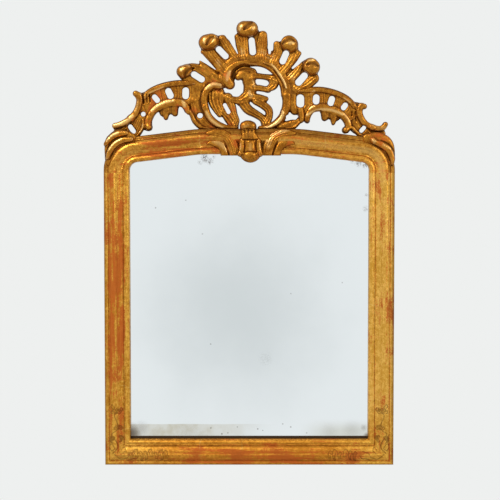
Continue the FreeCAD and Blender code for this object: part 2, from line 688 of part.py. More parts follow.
# Shield and leaves over the middle of the top rail
cartouche_strokes = [
    (49, [(-12, 7, 7), (10, 7, 7)]),
    (45, [(-2, -7, 17), (-2, -18, 17)]),
    (46, [(2, -14, 20), (2, -30, 21), (2, -44, 18), (2, -54, 10)]),
    (51, [(2, -20, 7), (2, -36, 7)]),
    (49, [(-23, -8, 5), (-27, -26, 6), (-21, -44, 6), (-12, -54, 5)]),
    (49, [(29, -8, 5), (33, -26, 6), (25, -44, 6), (16, -54, 5)]),
]
left_leaf_strokes = [
    (46, [(-25, -5, 6), (-43, -8, 7), (-63, -14, 6), (-83, -19, 4.5)]),
    (47, [(-67, -21, 4), (-51, -24, 4.5), (-39, -34, 5), (-33, -44, 5.5), (-35, -51, 5)]),
    (43, [(-61, -30, 8), (-47, -38, 9), (-41, -48, 5)]),
]
right_leaf_strokes = [
    (46, [(29, -17, 6), (47, -15, 6.5), (67, -9, 5.5), (87, -5, 4)]),
    (47, [(79, -25, 3.5), (61, -24, 4.5), (49, -29, 5), (41, -40, 5), (39, -51, 4.5)]),
    (43, [(66, -28, 8), (54, -38, 9), (46, -48, 5)]),
    (44, [(44, -17, 6), (54, -27, 6)]),
]
cartouche = carve(cartouche_strokes, on_crest, CARVING_BACK)
cartouche.append(boss(*on_crest(3, -56), SHIELD_LOBE, CARVING_BACK, LOBE_SIDE, LOBE_TOP))
cartouche = largest(one(cartouche).cut(rail_blank).cut(fan).cut(left_spray).cut(right_spray))


def cartouche_leaf(strokes):
    shape = one(carve(strokes, on_crest, CARVING_BACK))
    return largest(shape.cut(rail_blank).cut(fan).cut(cartouche))


left_cartouche_leaf = cartouche_leaf(left_leaf_strokes)
right_cartouche_leaf = cartouche_leaf(right_leaf_strokes)

# Dowels between the crest and the rail
dowel_spots = [(-82, seat), (72, seat)]
dowels = []
for x, z in dowel_spots:
    start = vec(x, DOWEL_DEPTH, z - DOWEL_REACH)
    dowels.append(Part.makeCylinder(DOWEL_RADIUS, 2 * DOWEL_REACH, start, FreeCAD.Vector(0, 0, 1)))
all_dowels = Part.makeCompound(dowels)
fan = fan.cut(all_dowels)

top_rail = rail_blank.cut(rebate).cut(tenon).cut(mirrored(tenon)).cut(all_nails).cut(all_dowels)
for peg in pegs:
    top_rail = top_rail.cut(peg).cut(mirrored(peg))

nodes = {
    "top_rail": top_rail,
    "bottom_rail": bottom_rail,
    "left_stile": left_stile,
    "right_stile": right_stile,
    "left_corner_key": mirrored(key),
    "right_corner_key": key,
    "joint_pegs": Part.makeCompound(pegs + [mirrored(peg) for peg in pegs]),
    "crest_fan": fan,
    "left_spray": left_spray,
    "right_spray": right_spray,
    "left_wing": left_wing,
    "right_wing": right_wing,
    "cartouche": cartouche,
    "left_cartouche_leaf": left_cartouche_leaf,
    "right_cartouche_leaf": right_cartouche_leaf,
    "left_corner_leaf": left_corner_leaf,
    "right_corner_leaf": right_corner_leaf,
    "crest_dowels": all_dowels,
    "mirror_glass": glass,
    "silvering": silvering,
    "glass_blocks": Part.makeCompound(blocks),
    "lower_backboard": boards[0],
    "middle_backboard": boards[1],
    "upper_backboard": boards[2],
    "backboard_nails": all_nails,
    "left_hanger_strap": mirrored(strap),
    "right_hanger_strap": strap,
    "left_hanger_ring": mirrored(ring),
    "right_hanger_ring": ring,
    "hanger_screws": Part.makeCompound([s for w, s in screws] + [mirrored(s) for w, s in screws]),
}
for name, shape in nodes.items():
    save(name, shape)
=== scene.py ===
import json
import math

import bmesh
import bpy
import numpy as np
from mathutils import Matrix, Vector


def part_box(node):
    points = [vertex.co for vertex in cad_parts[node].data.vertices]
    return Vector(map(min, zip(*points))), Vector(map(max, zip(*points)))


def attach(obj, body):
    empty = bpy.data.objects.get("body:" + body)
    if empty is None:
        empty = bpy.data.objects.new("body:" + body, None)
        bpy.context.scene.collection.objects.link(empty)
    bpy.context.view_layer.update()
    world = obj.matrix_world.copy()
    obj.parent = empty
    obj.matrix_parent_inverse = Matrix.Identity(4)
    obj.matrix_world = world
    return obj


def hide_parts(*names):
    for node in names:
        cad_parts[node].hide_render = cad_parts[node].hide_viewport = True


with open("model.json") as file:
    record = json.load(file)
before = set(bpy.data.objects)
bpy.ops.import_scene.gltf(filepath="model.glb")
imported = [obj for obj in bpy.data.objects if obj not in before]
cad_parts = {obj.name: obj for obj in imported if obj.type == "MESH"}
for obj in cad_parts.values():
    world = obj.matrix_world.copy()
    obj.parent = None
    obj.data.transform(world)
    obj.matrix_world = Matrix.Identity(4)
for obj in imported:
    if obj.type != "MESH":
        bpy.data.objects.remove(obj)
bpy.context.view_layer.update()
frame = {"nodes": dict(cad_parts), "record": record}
nodes = frame["nodes"]
scene = bpy.context.scene

# Sizes in millimetres, read from the frame where it has them
MM = 0.001
half_sight = -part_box("left_stile")[1].x / MM
half_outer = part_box("right_stile")[1].x / MM
sight_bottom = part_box("bottom_rail")[1].z / MM
frame_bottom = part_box("bottom_rail")[0].z / MM
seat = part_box("top_rail")[1].z / MM
joint_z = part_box("top_rail")[0].z / MM
moulding = half_outer - half_sight
sight_top = seat - moulding
crest_back = -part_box("crest_fan")[1].y / MM
CAMBER = math.radians(7)
LEVEL_HALF = 95
CORNER_RADIUS = 16
STUB = 5
CREST_SINK = 2
MOULDING_LIFT = 1
FLANK = 116
corner_x = half_sight - CORNER_RADIUS
corner_z = joint_z + STUB
corner_outer = CORNER_RADIUS + moulding

# The backs of the wings lie a little forward where they overlap the fan
WING_SET = 0.5
wing_back = crest_back + WING_SET

# Carved surfaces are grids with this step
PITCH = 0.8
PATH_STEP = 1.2


def rail_top(x):
    return seat - np.maximum(0, np.abs(x) - LEVEL_HALF) * math.tan(CAMBER)


# Cross sections of carved strokes: the fall below the crown at u = -1 to 1 across a half width w
def rounded(share):
    def shape(u, w):
        return share * w * (np.sqrt(1 - u * u) - 1)

    return shape


bead = rounded(0.9)
dome = rounded(0.85)
swell = rounded(0.5)
easy = rounded(0.28)


def trough(u, w):
    return -0.1 * w * (1 - u * u)


def band(u, w):
    return -0.4 * w * u ** 4


def fluted(count, depth=1.5):
    def shape(u, w):
        crown = 0.45 * w * (np.sqrt(1 - 0.95 * u * u) - 1)
        wave = np.abs(np.sin(math.pi * count * (u + 1) / 2))
        return crown - depth * (1 - wave)

    return shape


def curve_through(points):
    p = np.array(points, float)
    ends = np.vstack([2 * p[0] - p[1], p, 2 * p[-1] - p[-2]])
    rows = []
    for a, b, c, d in zip(ends, ends[1:], ends[2:], ends[3:]):
        count = max(2, int(np.hypot(*(c - b)[:2]) / PATH_STEP))
        t = np.linspace(0, 1, count, endpoint=False)[:, None]
        cubic = (3 * b - a - 3 * c + d) * t ** 3
        square = (2 * a - 5 * b + 4 * c - d) * t ** 2
        rows.append(0.5 * (2 * b + (c - a) * t + square + cubic))
    return np.vstack(rows + [p[-1:]])


def blurred(values, mask, radius):
    def box_sum(a):
        pad = np.pad(a, radius + 1)
        total = pad.cumsum(0).cumsum(1)
        size = 2 * radius + 1
        whole = total[size:, size:] - total[:-size, size:] - total[size:, :-size] + total[:-size, :-size]
        return whole[:a.shape[0], :a.shape[1]]

    weight = mask.astype(float)
    return box_sum(values * weight) / np.maximum(box_sum(weight), 1e-6)


def smooth_max(a, b, reach):
    near = np.maximum(reach - np.abs(a - b), 0) / reach
    return np.maximum(a, b) + near * near * reach / 4


# How far a surface lies below its surroundings within a reach, as a share of a full depth
def sunken(height, mask, reach, full):
    return np.clip((blurred(height, mask, round(reach / PITCH)) - height) / full, -1, 1)


# A relief holds, on a grid of x and z, the depth of the surface and the distance in from the outline
class Relief:
    room = 8
    fillet = 5.0
    ease = 4.5
    edge_round = 3.2
    edge_drop = 2.6
    rear_round = 4
    thinnest = 1
    softening = 0.6
    # Reach and full depth of the wide and the close hollows, which take dirt and painted shade
    wide = (5, 6)
    close = (1.8, 1.6)

    def __init__(self, lo, hi):
        self.xs = np.arange(lo.x / MM - self.room, hi.x / MM + self.room, PITCH)
        self.zs = np.arange(lo.z / MM - self.room, hi.z / MM + self.room, PITCH)
        self.x, self.z = np.meshgrid(self.xs, self.zs, indexing="ij")
        self.height = np.zeros(self.x.shape)
        self.inside = np.full(self.x.shape, -1e3)
        self.dirt_and_painted_light = np.zeros(self.x.shape)

    def follow(self, points):
        path = curve_through(points)
        lo = (path[:, :2] - path[:, 2:]).min(0) - 2 * PITCH
        hi = (path[:, :2] + path[:, 2:]).max(0) + 2 * PITCH
        i0, i1 = np.searchsorted(self.xs, (lo[0], hi[0]))
        j0, j1 = np.searchsorted(self.zs, (lo[1], hi[1]))
        window = (slice(i0, i1), slice(j0, j1))
        dx = self.x[window][..., None] - path[:, 0]
        dz = self.z[window][..., None] - path[:, 1]
        near = np.argmin(dx * dx + dz * dz, axis=-1)
        way = np.gradient(path[:, :2], axis=0)
        way /= np.linalg.norm(way, axis=1, keepdims=True)
        px = self.x[window] - path[near, 0]
        pz = self.z[window] - path[near, 1]
        along = px * way[near, 0] + pz * way[near, 1]
        across = way[near, 0] * pz - way[near, 1] * px
        past_end = ((near == 0) & (along < 0)) | ((near == len(path) - 1) & (along > 0))
        sign = np.where(across < 0, -1.0, 1.0)
        across = np.where(past_end, sign * np.hypot(px, pz), across)
        return window, across, path[near, 2]

    def add(self, profile, front, points):
        window, across, width = self.follow(points)
        u = np.clip(across / width, -1, 1)
        depth = front + profile(u, width)
        reach = width - np.abs(across)
        inside = self.inside[window]
        height = self.height[window]
        fresh = (inside <= 0) & (reach > inside)
        both = (inside > 0) & (reach > 0)
        height[fresh] = depth[fresh]
        height[both] = smooth_max(height[both], depth[both], self.ease)
        self.inside[window] = smooth_max(inside, reach, self.fillet)

    # Adds an amount that fades towards the sides of the stroke
    def fade(self, field, amount, points):
        window, across, width = self.follow(points)
        u = np.clip(across / width, -1, 1)
        field[window] += amount * (1 - u * u) ** 2

    def pierce(self, points):
        window, across, width = self.follow(points)
        self.inside[window] = np.minimum(self.inside[window], np.abs(across) - width)

    def build(self, name, back, chamfer):
        mask = self.inside > 0
        soft = blurred(self.height, mask, 1)
        eased = (1 - self.softening) * self.height + self.softening * soft
        height = np.where(mask, eased, self.height)
        # Dirt and painted shade where the surface lies below its surroundings, rubbed gold and painted
        # highlights where it stands above them, and the painted strokes on top
        wide = sunken(height, mask, *self.wide)
        close = sunken(height, mask, *self.close)
        painted_light_and_wear = 0.6 * wide + 0.4 * close + self.dirt_and_painted_light
        height = height - self.edge_drop * np.clip(1 - self.inside / self.edge_round, 0, 1) ** 2
        edge = np.clip(1 - self.inside / self.rear_round, 0, 1)
        behind = np.minimum(back + chamfer * edge ** 2, height - self.thinnest)
        return relief_object(name, *outline_cells(self, mask, height, behind, painted_light_and_wear))


# Cells of the grid cut along the outline, with points shared between neighbours
def outline_cells(relief, mask, height, behind, painted_light_and_wear):
    fields = [relief.x, relief.z, height, behind, painted_light_and_wear]
    columns = [[f[mask]] for f in fields]
    number = np.full(mask.shape, -1)
    number[mask] = np.arange(mask.sum())
    total = mask.sum()
    crossing = []
    for here, there in ((np.s_[:-1], np.s_[1:]), (np.s_[:, :-1], np.s_[:, 1:])):
        split = mask[here] != mask[there]
        share = relief.inside[here][split] / (relief.inside[here][split] - relief.inside[there][split])
        for column, f in zip(columns, fields):
            column.append(f[here][split] * (1 - share) + f[there][split] * share)
        ids = np.full(split.shape, -1)
        ids[split] = total + np.arange(split.sum())
        total += split.sum()
        crossing.append(ids)
    corners = [number[:-1, :-1], number[1:, :-1], number[1:, 1:], number[:-1, 1:]]
    edges = [crossing[0][:, :-1], crossing[1][1:, :], crossing[0][:, 1:], crossing[1][:-1, :]]
    ring = np.stack([a for pair in zip(corners, edges) for a in pair], axis=-1).reshape(-1, 8)
    used = ring >= 0
    code = (used * (1 << np.arange(8))).sum(1)
    faces = []
    for value in np.unique(code):
        chosen = used[np.argmax(code == value)]
        if chosen.sum() > 2:
            faces += ring[code == value][:, chosen].tolist()
    return [np.concatenate(c) for c in columns] + [faces]


# Shade of the backs of the carving, and the angles in degrees above which an edge is drawn sharp
BACK_SHADE = 0.9
CARVED_SHARP = 55
MOULDED_SHARP = 32


def relief_object(name, x, z, front, rear, dark, faces):
    count = len(x)
    ahead = np.stack([x, -front, z], axis=1)
    backed = np.stack([x, -rear, z], axis=1)
    starts = np.array([a for f in faces for a in f])
    ends = np.array([b for f in faces for b in f[1:] + f[:1]])
    lonely = ~np.isin(starts * count + ends, ends * count + starts)
    rim = zip(starts[lonely].tolist(), ends[lonely].tolist())
    walls = [[b, a, a + count, b + count] for a, b in rim]
    backs = [[v + count for v in reversed(f)] for f in faces]
    mesh = bpy.data.meshes.new(name)
    mesh.from_pydata((np.vstack([ahead, backed]) * MM).tolist(), [], faces + backs + walls)
    put_attribute(mesh, "painted_light_and_wear", np.concatenate([dark, np.full(count, BACK_SHADE)]))
    put_attribute(mesh, "worn", np.zeros(2 * count))
    return link(name, mesh, CARVED_SHARP)


def put_attribute(mesh, name, values):
    attribute = mesh.attributes.new(name, "FLOAT", "POINT")
    attribute.data.foreach_set("value", np.asarray(values, np.float32))


def stand(name, data):
    obj = bpy.data.objects.new(name, data)
    scene.collection.objects.link(obj)
    return obj


def link(name, mesh, sharp_degrees):
    obj = stand(name, mesh)
    mesh.shade_smooth()
    mesh.set_sharp_from_angle(angle=math.radians(sharp_degrees))
    return obj


def dress(obj, node, material):
    obj.data.materials.append(material)
    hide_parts(node)
    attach(obj, "mirror")


# Node helpers for the materials and the world
class Nodes:
    def __init__(self, owner, output):
        owner.use_nodes = True
        self.tree = owner.node_tree
        self.tree.nodes.clear()
        self.output = self.node(output).inputs[0]

    def node(self, kind):
        return self.tree.nodes.new("ShaderNode" + kind)

    def link(self, source, socket):
        self.tree.links.new(source, socket)

    def feed(self, node, values, output=0):
        for key, value in values.items():
            if isinstance(value, bpy.types.NodeSocket):
                self.link(value, node.inputs[key])
            else:
                node.inputs[key].default_value = value
        return node.outputs[output]

    def position(self):
        return self.node("TexCoord").outputs["Object"]

    def normal(self):
        return self.node("TexCoord").outputs["Normal"]

    def attribute(self, name):
        node = self.node("Attribute")
        node.attribute_name = name
        return node.outputs["Fac"]

    def split(self, vector):
        node = self.node("SeparateXYZ")
        self.link(vector, node.inputs[0])
        return node.outputs

    def join(self, x, y, z):
        return self.feed(self.node("CombineXYZ"), {0: x, 1: y, 2: z})

    def distance(self, vector, point):
        node = self.node("VectorMath")
        node.operation = "DISTANCE"
        return self.feed(node, {0: vector, 1: point}, "Value")

    def stretch(self, vector, scale):
        return self.feed(self.node("Mapping"), {"Vector": vector, "Scale": scale})

    def noise(self, vector, scale, detail=3.0, roughness=0.55):
        values = {"Vector": vector, "Scale": scale, "Detail": detail, "Roughness": roughness}
        return self.feed(self.node("TexNoise"), values)

    def math(self, operation, a, b=0.0):
        node = self.node("Math")
        node.operation = operation
        return self.feed(node, {0: a, 1: b})

    def plus(self, a, b):
        return self.math("ADD", a, b)

    def times(self, a, b):
        return self.math("MULTIPLY", a, b)

    def most(self, a, b):
        return self.math("MAXIMUM", a, b)

    def ramp(self, value, low, high):
        node = self.node("MapRange")
        node.interpolation_type = "SMOOTHSTEP"
        return self.feed(node, {0: value, 1: low, 2: high})

    def mix(self, factor, a, b):
        node = self.node("Mix")
        node.data_type = "RGBA"
        return self.feed(node, {0: factor, 6: a, 7: b}, 2)

    def blend(self, factor, a, b):
        return self.feed(self.node("Mix"), {0: factor, 2: a, 3: b})

    def mix_shaders(self, factor, a, b):
        self.link(self.feed(self.node("MixShader"), {0: factor, 1: a, 2: b}), self.output)

    # Rays that see the backdrop as it is: from the camera, from metal and through glass
    def seeing_rays(self):
        rays = self.node("LightPath").outputs
        seen = self.most(rays["Is Camera Ray"], rays["Is Glossy Ray"])
        return self.most(seen, rays["Is Transmission Ray"])


class Shader(Nodes):
    def __init__(self, name):
        self.material = bpy.data.materials.new(name)
        super().__init__(self.material, "OutputMaterial")
        self.surface = self.node("BsdfPrincipled")
        self.link(self.surface.outputs[0], self.output)

    def set(self, name, value):
        self.feed(self.surface, {name: value})

    def bump(self, height, distance, strength):
        values = {"Height": height, "Distance": distance, "Strength": strength}
        self.set("Normal", self.feed(self.node("Bump"), values))


def colour(red, green, blue):
    return (red, green, blue, 1.0)


# Paler gold on rubbed and burnished crowns, which also gives the painted highlights, and the gold of the
# engraved corners
rubbed_gold_and_highlight = colour(0.92, 0.57, 0.16)
burnished_gold_and_highlight = colour(0.95, 0.62, 0.23)
corner_dark = colour(0.52, 0.23, 0.024)
corner_light = colour(0.88, 0.48, 0.075)
# Spacing of the laps between the leaves of gold
LAP_SPACING = 83


# Worn gold leaf over red bole, with dirt and painted shade in the hollows and rubbed gold with painted
# highlights on the crowns; bare wood where the surface faces the wall
def gilding(name, grain, dark, light, crown=rubbed_gold_and_highlight, tooling=1.0, lap_axis=None, dullness=0.0):
    s = Shader(name)
    where = s.position()
    along = s.stretch(where, grain)
    streak = s.noise(along, 9.0, 5.0, 0.62)
    cloud = s.noise(where, 22.0, 4.0, 0.6)
    speck = s.noise(where, 420.0, 2.0)
    fleck = s.noise(along, 26.0, 4.0, 0.65)
    mottle = s.noise(where, 150.0, 3.0, 0.6)
    painted_light_and_wear = s.attribute("painted_light_and_wear")
    corner = s.attribute("corner")
    grit = s.times(s.plus(s.plus(speck, fleck), -1.0), 0.4)
    patch = s.plus(s.plus(streak, cloud), -0.55)
    rubbed = s.plus(s.plus(patch, s.times(s.attribute("worn"), 0.26)), s.times(grit, 1.4))
    bare_bole = s.ramp(rubbed, 0.56, 0.70)
    tone = s.plus(s.times(s.plus(cloud, mottle), 0.5), grit)
    dark_gold = s.mix(corner, colour(*dark), corner_dark)
    light_gold = s.mix(corner, colour(*light), corner_light)
    gold = s.mix(s.ramp(tone, 0.35, 0.65), dark_gold, light_gold)
    if lap_axis is not None:
        place = s.plus(s.split(where)[lap_axis], s.times(cloud, 0.03))
        share = s.math("FRACT", s.math("DIVIDE", place, LAP_SPACING * MM))
        line = s.times(s.ramp(share, 0.03, 0.01), s.ramp(s.noise(where, 14.0, 1.0), 0.5, 0.65))
        gold = s.mix(s.times(line, 0.5), gold, colour(0.85, 0.56, 0.16))
    red = s.mix(fleck, colour(0.40, 0.062, 0.008), colour(0.60, 0.145, 0.022))
    skin = s.mix(s.times(bare_bole, 0.9), gold, red)
    uneven = s.times(s.plus(cloud, -0.5), 0.3)
    # Painted shade and dirt darken the hollows
    deep = s.ramp(s.plus(painted_light_and_wear, uneven), -0.12, 0.55)
    skin = s.mix(s.times(deep, 0.92), skin, colour(0.075, 0.022, 0.003))
    # Painted highlights and rubbed gold lighten the crowns
    bright = s.ramp(painted_light_and_wear, -0.1, -0.95)
    skin = s.mix(s.times(bright, 0.66), skin, crown)
    rear = s.ramp(s.split(s.normal())[1], 0.75, 0.9)
    fibre = s.noise(s.stretch(where, (140.0, 140.0, 9.0)), 1.0, 5.0, 0.6)
    wood = s.mix(fibre, colour(0.13, 0.07, 0.032), colour(0.36, 0.22, 0.11))
    s.set("Base Color", s.mix(rear, skin, wood))
    dull = s.most(s.most(bare_bole, deep), rear)
    s.set("Specular IOR Level", 0.06)
    s.set("Metallic", s.blend(dull, 0.85, 0.3))
    smooth = s.blend(mottle, 0.2 + dullness, 0.38 + dullness)
    s.set("Roughness", s.blend(dull, smooth, 0.5))
    marks = s.plus(s.times(speck, 0.5), s.times(mottle, tooling))
    s.bump(s.plus(marks, streak), 0.001, 0.4)
    return s.material


def old_wood(name, dark, light, grain):
    s = Shader(name)
    where = s.position()
    fibre = s.noise(s.stretch(where, grain), 1.0, 6.0, 0.65)
    stain = s.times(s.ramp(s.noise(where, 9.0, 3.0), 0.5, 0.8), 0.45)
    s.set("Base Color", s.mix(stain, s.mix(fibre, dark, light), dark))
    s.set("Roughness", 0.78)
    s.bump(fibre, 0.0006, 0.4)
    return s.material


def aged_metal(name, clean, tarnish, roughness):
    s = Shader(name)
    where = s.position()
    cover = s.ramp(s.noise(where, 130.0, 4.0), 0.42, 0.68)
    scratch = s.noise(s.stretch(where, (900.0, 900.0, 60.0)), 1.0, 2.0)
    s.set("Base Color", s.mix(cover, clean, tarnish))
    s.set("Metallic", s.blend(cover, 0.95, 0.45))
    s.set("Roughness", s.blend(cover, roughness, 0.7))
    s.bump(scratch, 0.0002, 0.3)
    return s.material


# Spots in the old silvering: (x, z, radius, darkness), in millimetres
foxing_clouds = [
    (-88, 276, 11, 0.75), (-78, 270, 9, 0.7), (-97, 268, 7, 0.4), (-70, 279, 5, 0.4),
    (216, 266, 9, 0.6), (229, 262, 7, 0.7), (204, 270, 6, 0.4),
    (32, -124, 18, 0.12), (231, 176, 8, 0.35), (232, 203, 5, 0.4),
]
smudges = [
    (-234, -274, 26, 0.72), (-216, -264, 20, 0.25), (236, -280, 10, 0.7), (229, -262, 9, 0.3),
    (205, -266, 26, 0.14), (160, -270, 26, 0.10), (-120, -284, 40, 0.10),
]
foxing_dots = [
    (-186, 178, 2.2, 0.5), (-126, 193, 1.8, 0.5), (-93, 126, 1.8, 0.55), (185, 29, 1.8, 0.5),
    (83, 7, 1.6, 0.6), (-77, -94, 2.0, 0.5), (-77, -263, 2.2, 0.6), (-55, -275, 2.6, 0.6),
    (-43, -273, 1.8, 0.6), (-24, -261, 1.8, 0.5), (17, -265, 2.2, 0.6), (27, -268, 1.6, 0.6),
    (67, -255, 2.0, 0.5), (83, -261, 2.4, 0.5), (115, -273, 2.0, 0.5),
]
# Haze and veil along the lower edge of the glass, and the middle of a darker patch painted on the silver
# as a reflection
HAZE_TOP = -254
HAZE_END = 60
VEIL_START = 90
VEIL_TOP = -232
VEIL_FULL = -262
REFLECTION_CENTRE = (-20 * MM, 0, -30 * MM)
# Soft rim of the smudges
SMUDGE_RIM = 4
# Painted shadow: a dark strip along the lower edge of the glass, above the sight edge
SHADOW_STRIP_TOP = 5.9
SHADOW_STRIP_FULL = 4.7


def old_mirror(name):
    s = Shader(name)
    where = s.position()
    x, y, z = s.split(where)
    flat = s.join(x, 0.0, z)
    soft = s.noise(where, 9.0, 3.0)
    # Painted reflection: the silver darkens towards a patch near the middle of the glass
    middle = s.plus(s.distance(flat, REFLECTION_CENTRE), s.times(soft, 0.12))
    silver = s.mix(s.ramp(middle, 0.34, 0.06), colour(0.90, 0.94, 0.965), colour(0.72, 0.765, 0.785))
    low = s.ramp(s.plus(z, s.times(soft, 0.003)), (HAZE_TOP + 1) * MM, (HAZE_TOP - 1) * MM)
    along = s.ramp(x, HAZE_END * MM, -half_sight * 0.5 * MM)
    cloudy = s.blend(s.ramp(s.noise(where, 34.0, 4.0, 0.6), 0.35, 0.65), 0.5, 0.9)
    silver = s.mix(s.times(s.times(low, along), cloudy), silver, colour(0.62, 0.585, 0.48))
    veil = s.ramp(s.plus(z, s.times(soft, 0.02)), VEIL_TOP * MM, VEIL_FULL * MM)
    veil = s.times(veil, s.ramp(x, VEIL_START * MM, 0.7 * half_sight * MM))
    silver = s.mix(s.times(veil, 0.6), silver, colour(0.64, 0.64, 0.56))
    broken = s.ramp(s.noise(where, 300.0, 4.0, 0.65), 0.40, 0.60)
    uneven = s.times(soft, 0.008)
    rim = SMUDGE_RIM * MM

    def spotted(loss_and_shadow, spots, near):
        for cx, cz, reach, dark in spots:
            gap = s.distance(flat, (cx * MM, 0, cz * MM))
            loss_and_shadow = s.most(loss_and_shadow, s.times(near(gap, reach * MM), dark))
        return loss_and_shadow

    # The painted shadow along the lower edge, then foxing, smudges and spots where the silvering is lost
    loss_and_shadow = s.ramp(z, (sight_bottom + SHADOW_STRIP_TOP) * MM, (sight_bottom + SHADOW_STRIP_FULL) * MM)
    loss_and_shadow = spotted(loss_and_shadow, foxing_clouds, lambda gap, far: s.times(s.ramp(gap, far, 0.25 * far), broken))
    loss_and_shadow = spotted(loss_and_shadow, smudges, lambda gap, far: s.ramp(s.plus(gap, uneven), far + rim, rim))
    loss_and_shadow = spotted(loss_and_shadow, foxing_dots, lambda gap, far: s.ramp(gap, far, 0.3 * far))
    s.set("Base Color", s.mix(loss_and_shadow, silver, colour(0.05, 0.03, 0.015)))
    s.set("Specular IOR Level", 0.1)
    s.set("Metallic", s.blend(loss_and_shadow, 1.0, 0.2))
    s.set("Roughness", s.blend(loss_and_shadow, 0.04, 0.45))
    return s.material


# Crest: rows of (cross section, front, points); a point is (x, height above the rail, half width)
fan_rows = [
    (easy, 19, [(-82, 96, 12), (-70, 112, 13), (-56, 130, 12), (-40, 142, 11), (-22, 150, 10),
                (2, 152, 10)]),
    (easy, 19, [(2, 152, 10), (26, 150, 10), (46, 142, 11), (64, 126, 12), (78, 106, 12), (86, 88, 12)]),
    (easy, 21, [(-115, 113, 13), (-101, 104, 14), (-90, 97, 12)]),
    (easy, 21, [(-67, 166, 13), (-53, 151, 14), (-44, 140, 13)]),
    (easy, 21, [(3, 182, 13), (6, 165, 14), (7, 150, 12)]),
    (easy, 21, [(75, 155, 13), (69, 142, 14), (64, 131, 12)]),
    (easy, 21, [(113, 110, 13), (103, 100, 14), (95, 90, 12)]),
    (fluted(5, 1.2), 22, [(-102, 82, 14), (-103, 64, 17), (-101, 44, 17),
                          (-93, 22, 16), (-76, 6, 14), (-58, 0, 12)]),
    (swell, 23, [(81, 92, 12), (84, 70, 11), (85, 50, 11), (90, 38, 9)]),
    (easy, 24, [(-40, 92, 11), (-46, 101, 12.5), (-46, 112, 13), (-37, 126, 12), (-19, 135, 11),
                (1, 137, 11)]),
    (easy, 24, [(1, 137, 11), (25, 136, 11), (45, 127, 11), (60, 111, 10), (70, 90, 9), (74, 66, 8.5)]),
    (swell, 27.5, [(-37.5, 88, 8), (-43.5, 97, 8.8), (-44, 107, 8), (-38, 120, 6),
                   (-23, 130, 4.5), (-2, 134, 3)]),
    (swell, 26.5, [(-6, 130, 2), (24, 127, 2.4), (41, 119, 2.4), (53, 105, 2.4), (63, 86, 2.4),
                   (66, 68, 2)]),
    (swell, 27, [(74, 66, 8.5), (73, 46, 8.5), (67, 28, 8), (54, 14, 7), (38, 5, 6.5), (22, 2, 6)]),
    (swell, 29, [(-59, 86, 6), (-71, 87, 7), (-83, 78, 7.2), (-89, 62, 7), (-87.5, 44, 6.5)]),
    (swell, 29, [(-87.5, 44, 6.5), (-79, 26, 6.5), (-65, 12.5, 6.5), (-48, 4.5, 6), (-27, 2, 6)]),
    (easy, 18, [(-26, 122, 5), (-29, 112, 5), (-31, 102, 3.5)]),
    (swell, 25, [(99, 19, 5), (84, 11, 9), (62, 4, 10)]),
    (swell, 26, [(100, 15, 2), (88, 4, 3), (72, 0, 3)]),
    (bead, 29, [(101, 42, 7), (103, 30, 7), (104, 19, 5)]),
    (fluted(3), 25, [(-122, 122, 7.5), (-111, 123, 8), (-95, 117, 11), (-77, 105, 13), (-60, 92, 14)]),
    (fluted(2), 24, [(-97, 134, 2), (-90, 126, 7), (-77, 112, 10)]),
    (swell, 23, [(-127, 104, 9), (-113, 94, 8.5), (-95, 84, 8.5)]),
    (fluted(4), 25, [(-83, 160, 9), (-69, 141, 10), (-53, 122, 11), (-46, 114, 11)]),
    (fluted(3), 23, [(-91, 153, 5), (-77, 140, 8), (-61, 121, 8)]),
    (fluted(4), 24, [(-53, 179, 7.5), (-39, 158, 11), (-26, 136, 9)]),
    (fluted(3), 25, [(-11, 184, 8), (-10, 164, 8.5), (-9, 137, 9)]),
    (fluted(3), 23, [(-24, 183, 5.5), (-19, 167, 8), (-15, 149, 9)]),
    (fluted(5), 24.5, [(27, 186, 8.5), (25, 166, 11.5), (22, 138, 11)]),
    (fluted(4), 24.5, [(54, 168, 6.5), (56, 150, 10.5), (47, 126, 9)]),
    (fluted(3), 25, [(88, 156, 9), (84, 140, 10), (74, 125, 8.5), (62, 111, 8)]),
    (fluted(2), 23, [(98, 150, 5), (90, 134, 7.5)]),
    (fluted(3), 24, [(101, 127, 6), (93, 114, 8.5), (79, 98, 9)]),
    (fluted(4), 25, [(127, 101, 11), (113, 90, 11.5), (95, 80, 10)]),
    (swell, 21, [(-70, 176, 8), (-54, 178, 7)]),
    (swell, 21, [(12, 189, 7), (26, 182, 7)]),
    (swell, 21, [(68, 166, 7), (55, 165, 6)]),
    (swell, 21, [(112, 128, 8), (101, 127, 6)]),
    (swell, 26.8, [(30, 131, 2), (47, 124.5, 2.6), (59, 109, 2.6), (68.5, 94, 2.6), (72.5, 82, 2)]),
    (bead, 29, [(66, 36, 3), (65, 27, 4), (57, 15.5, 4.5), (46, 8, 4), (35, 3, 3)]),
    (bead, 26, [(-122, 42, 3.5), (-114, 29, 4.5), (-107, 15, 5), (-94, 4, 5), (-80, 0, 4)]),
]
# Heads of the petals, and the hollow under each one's rolled tip
HEAD_FRONT = 37
HOLLOW_DEPTH = 4.2
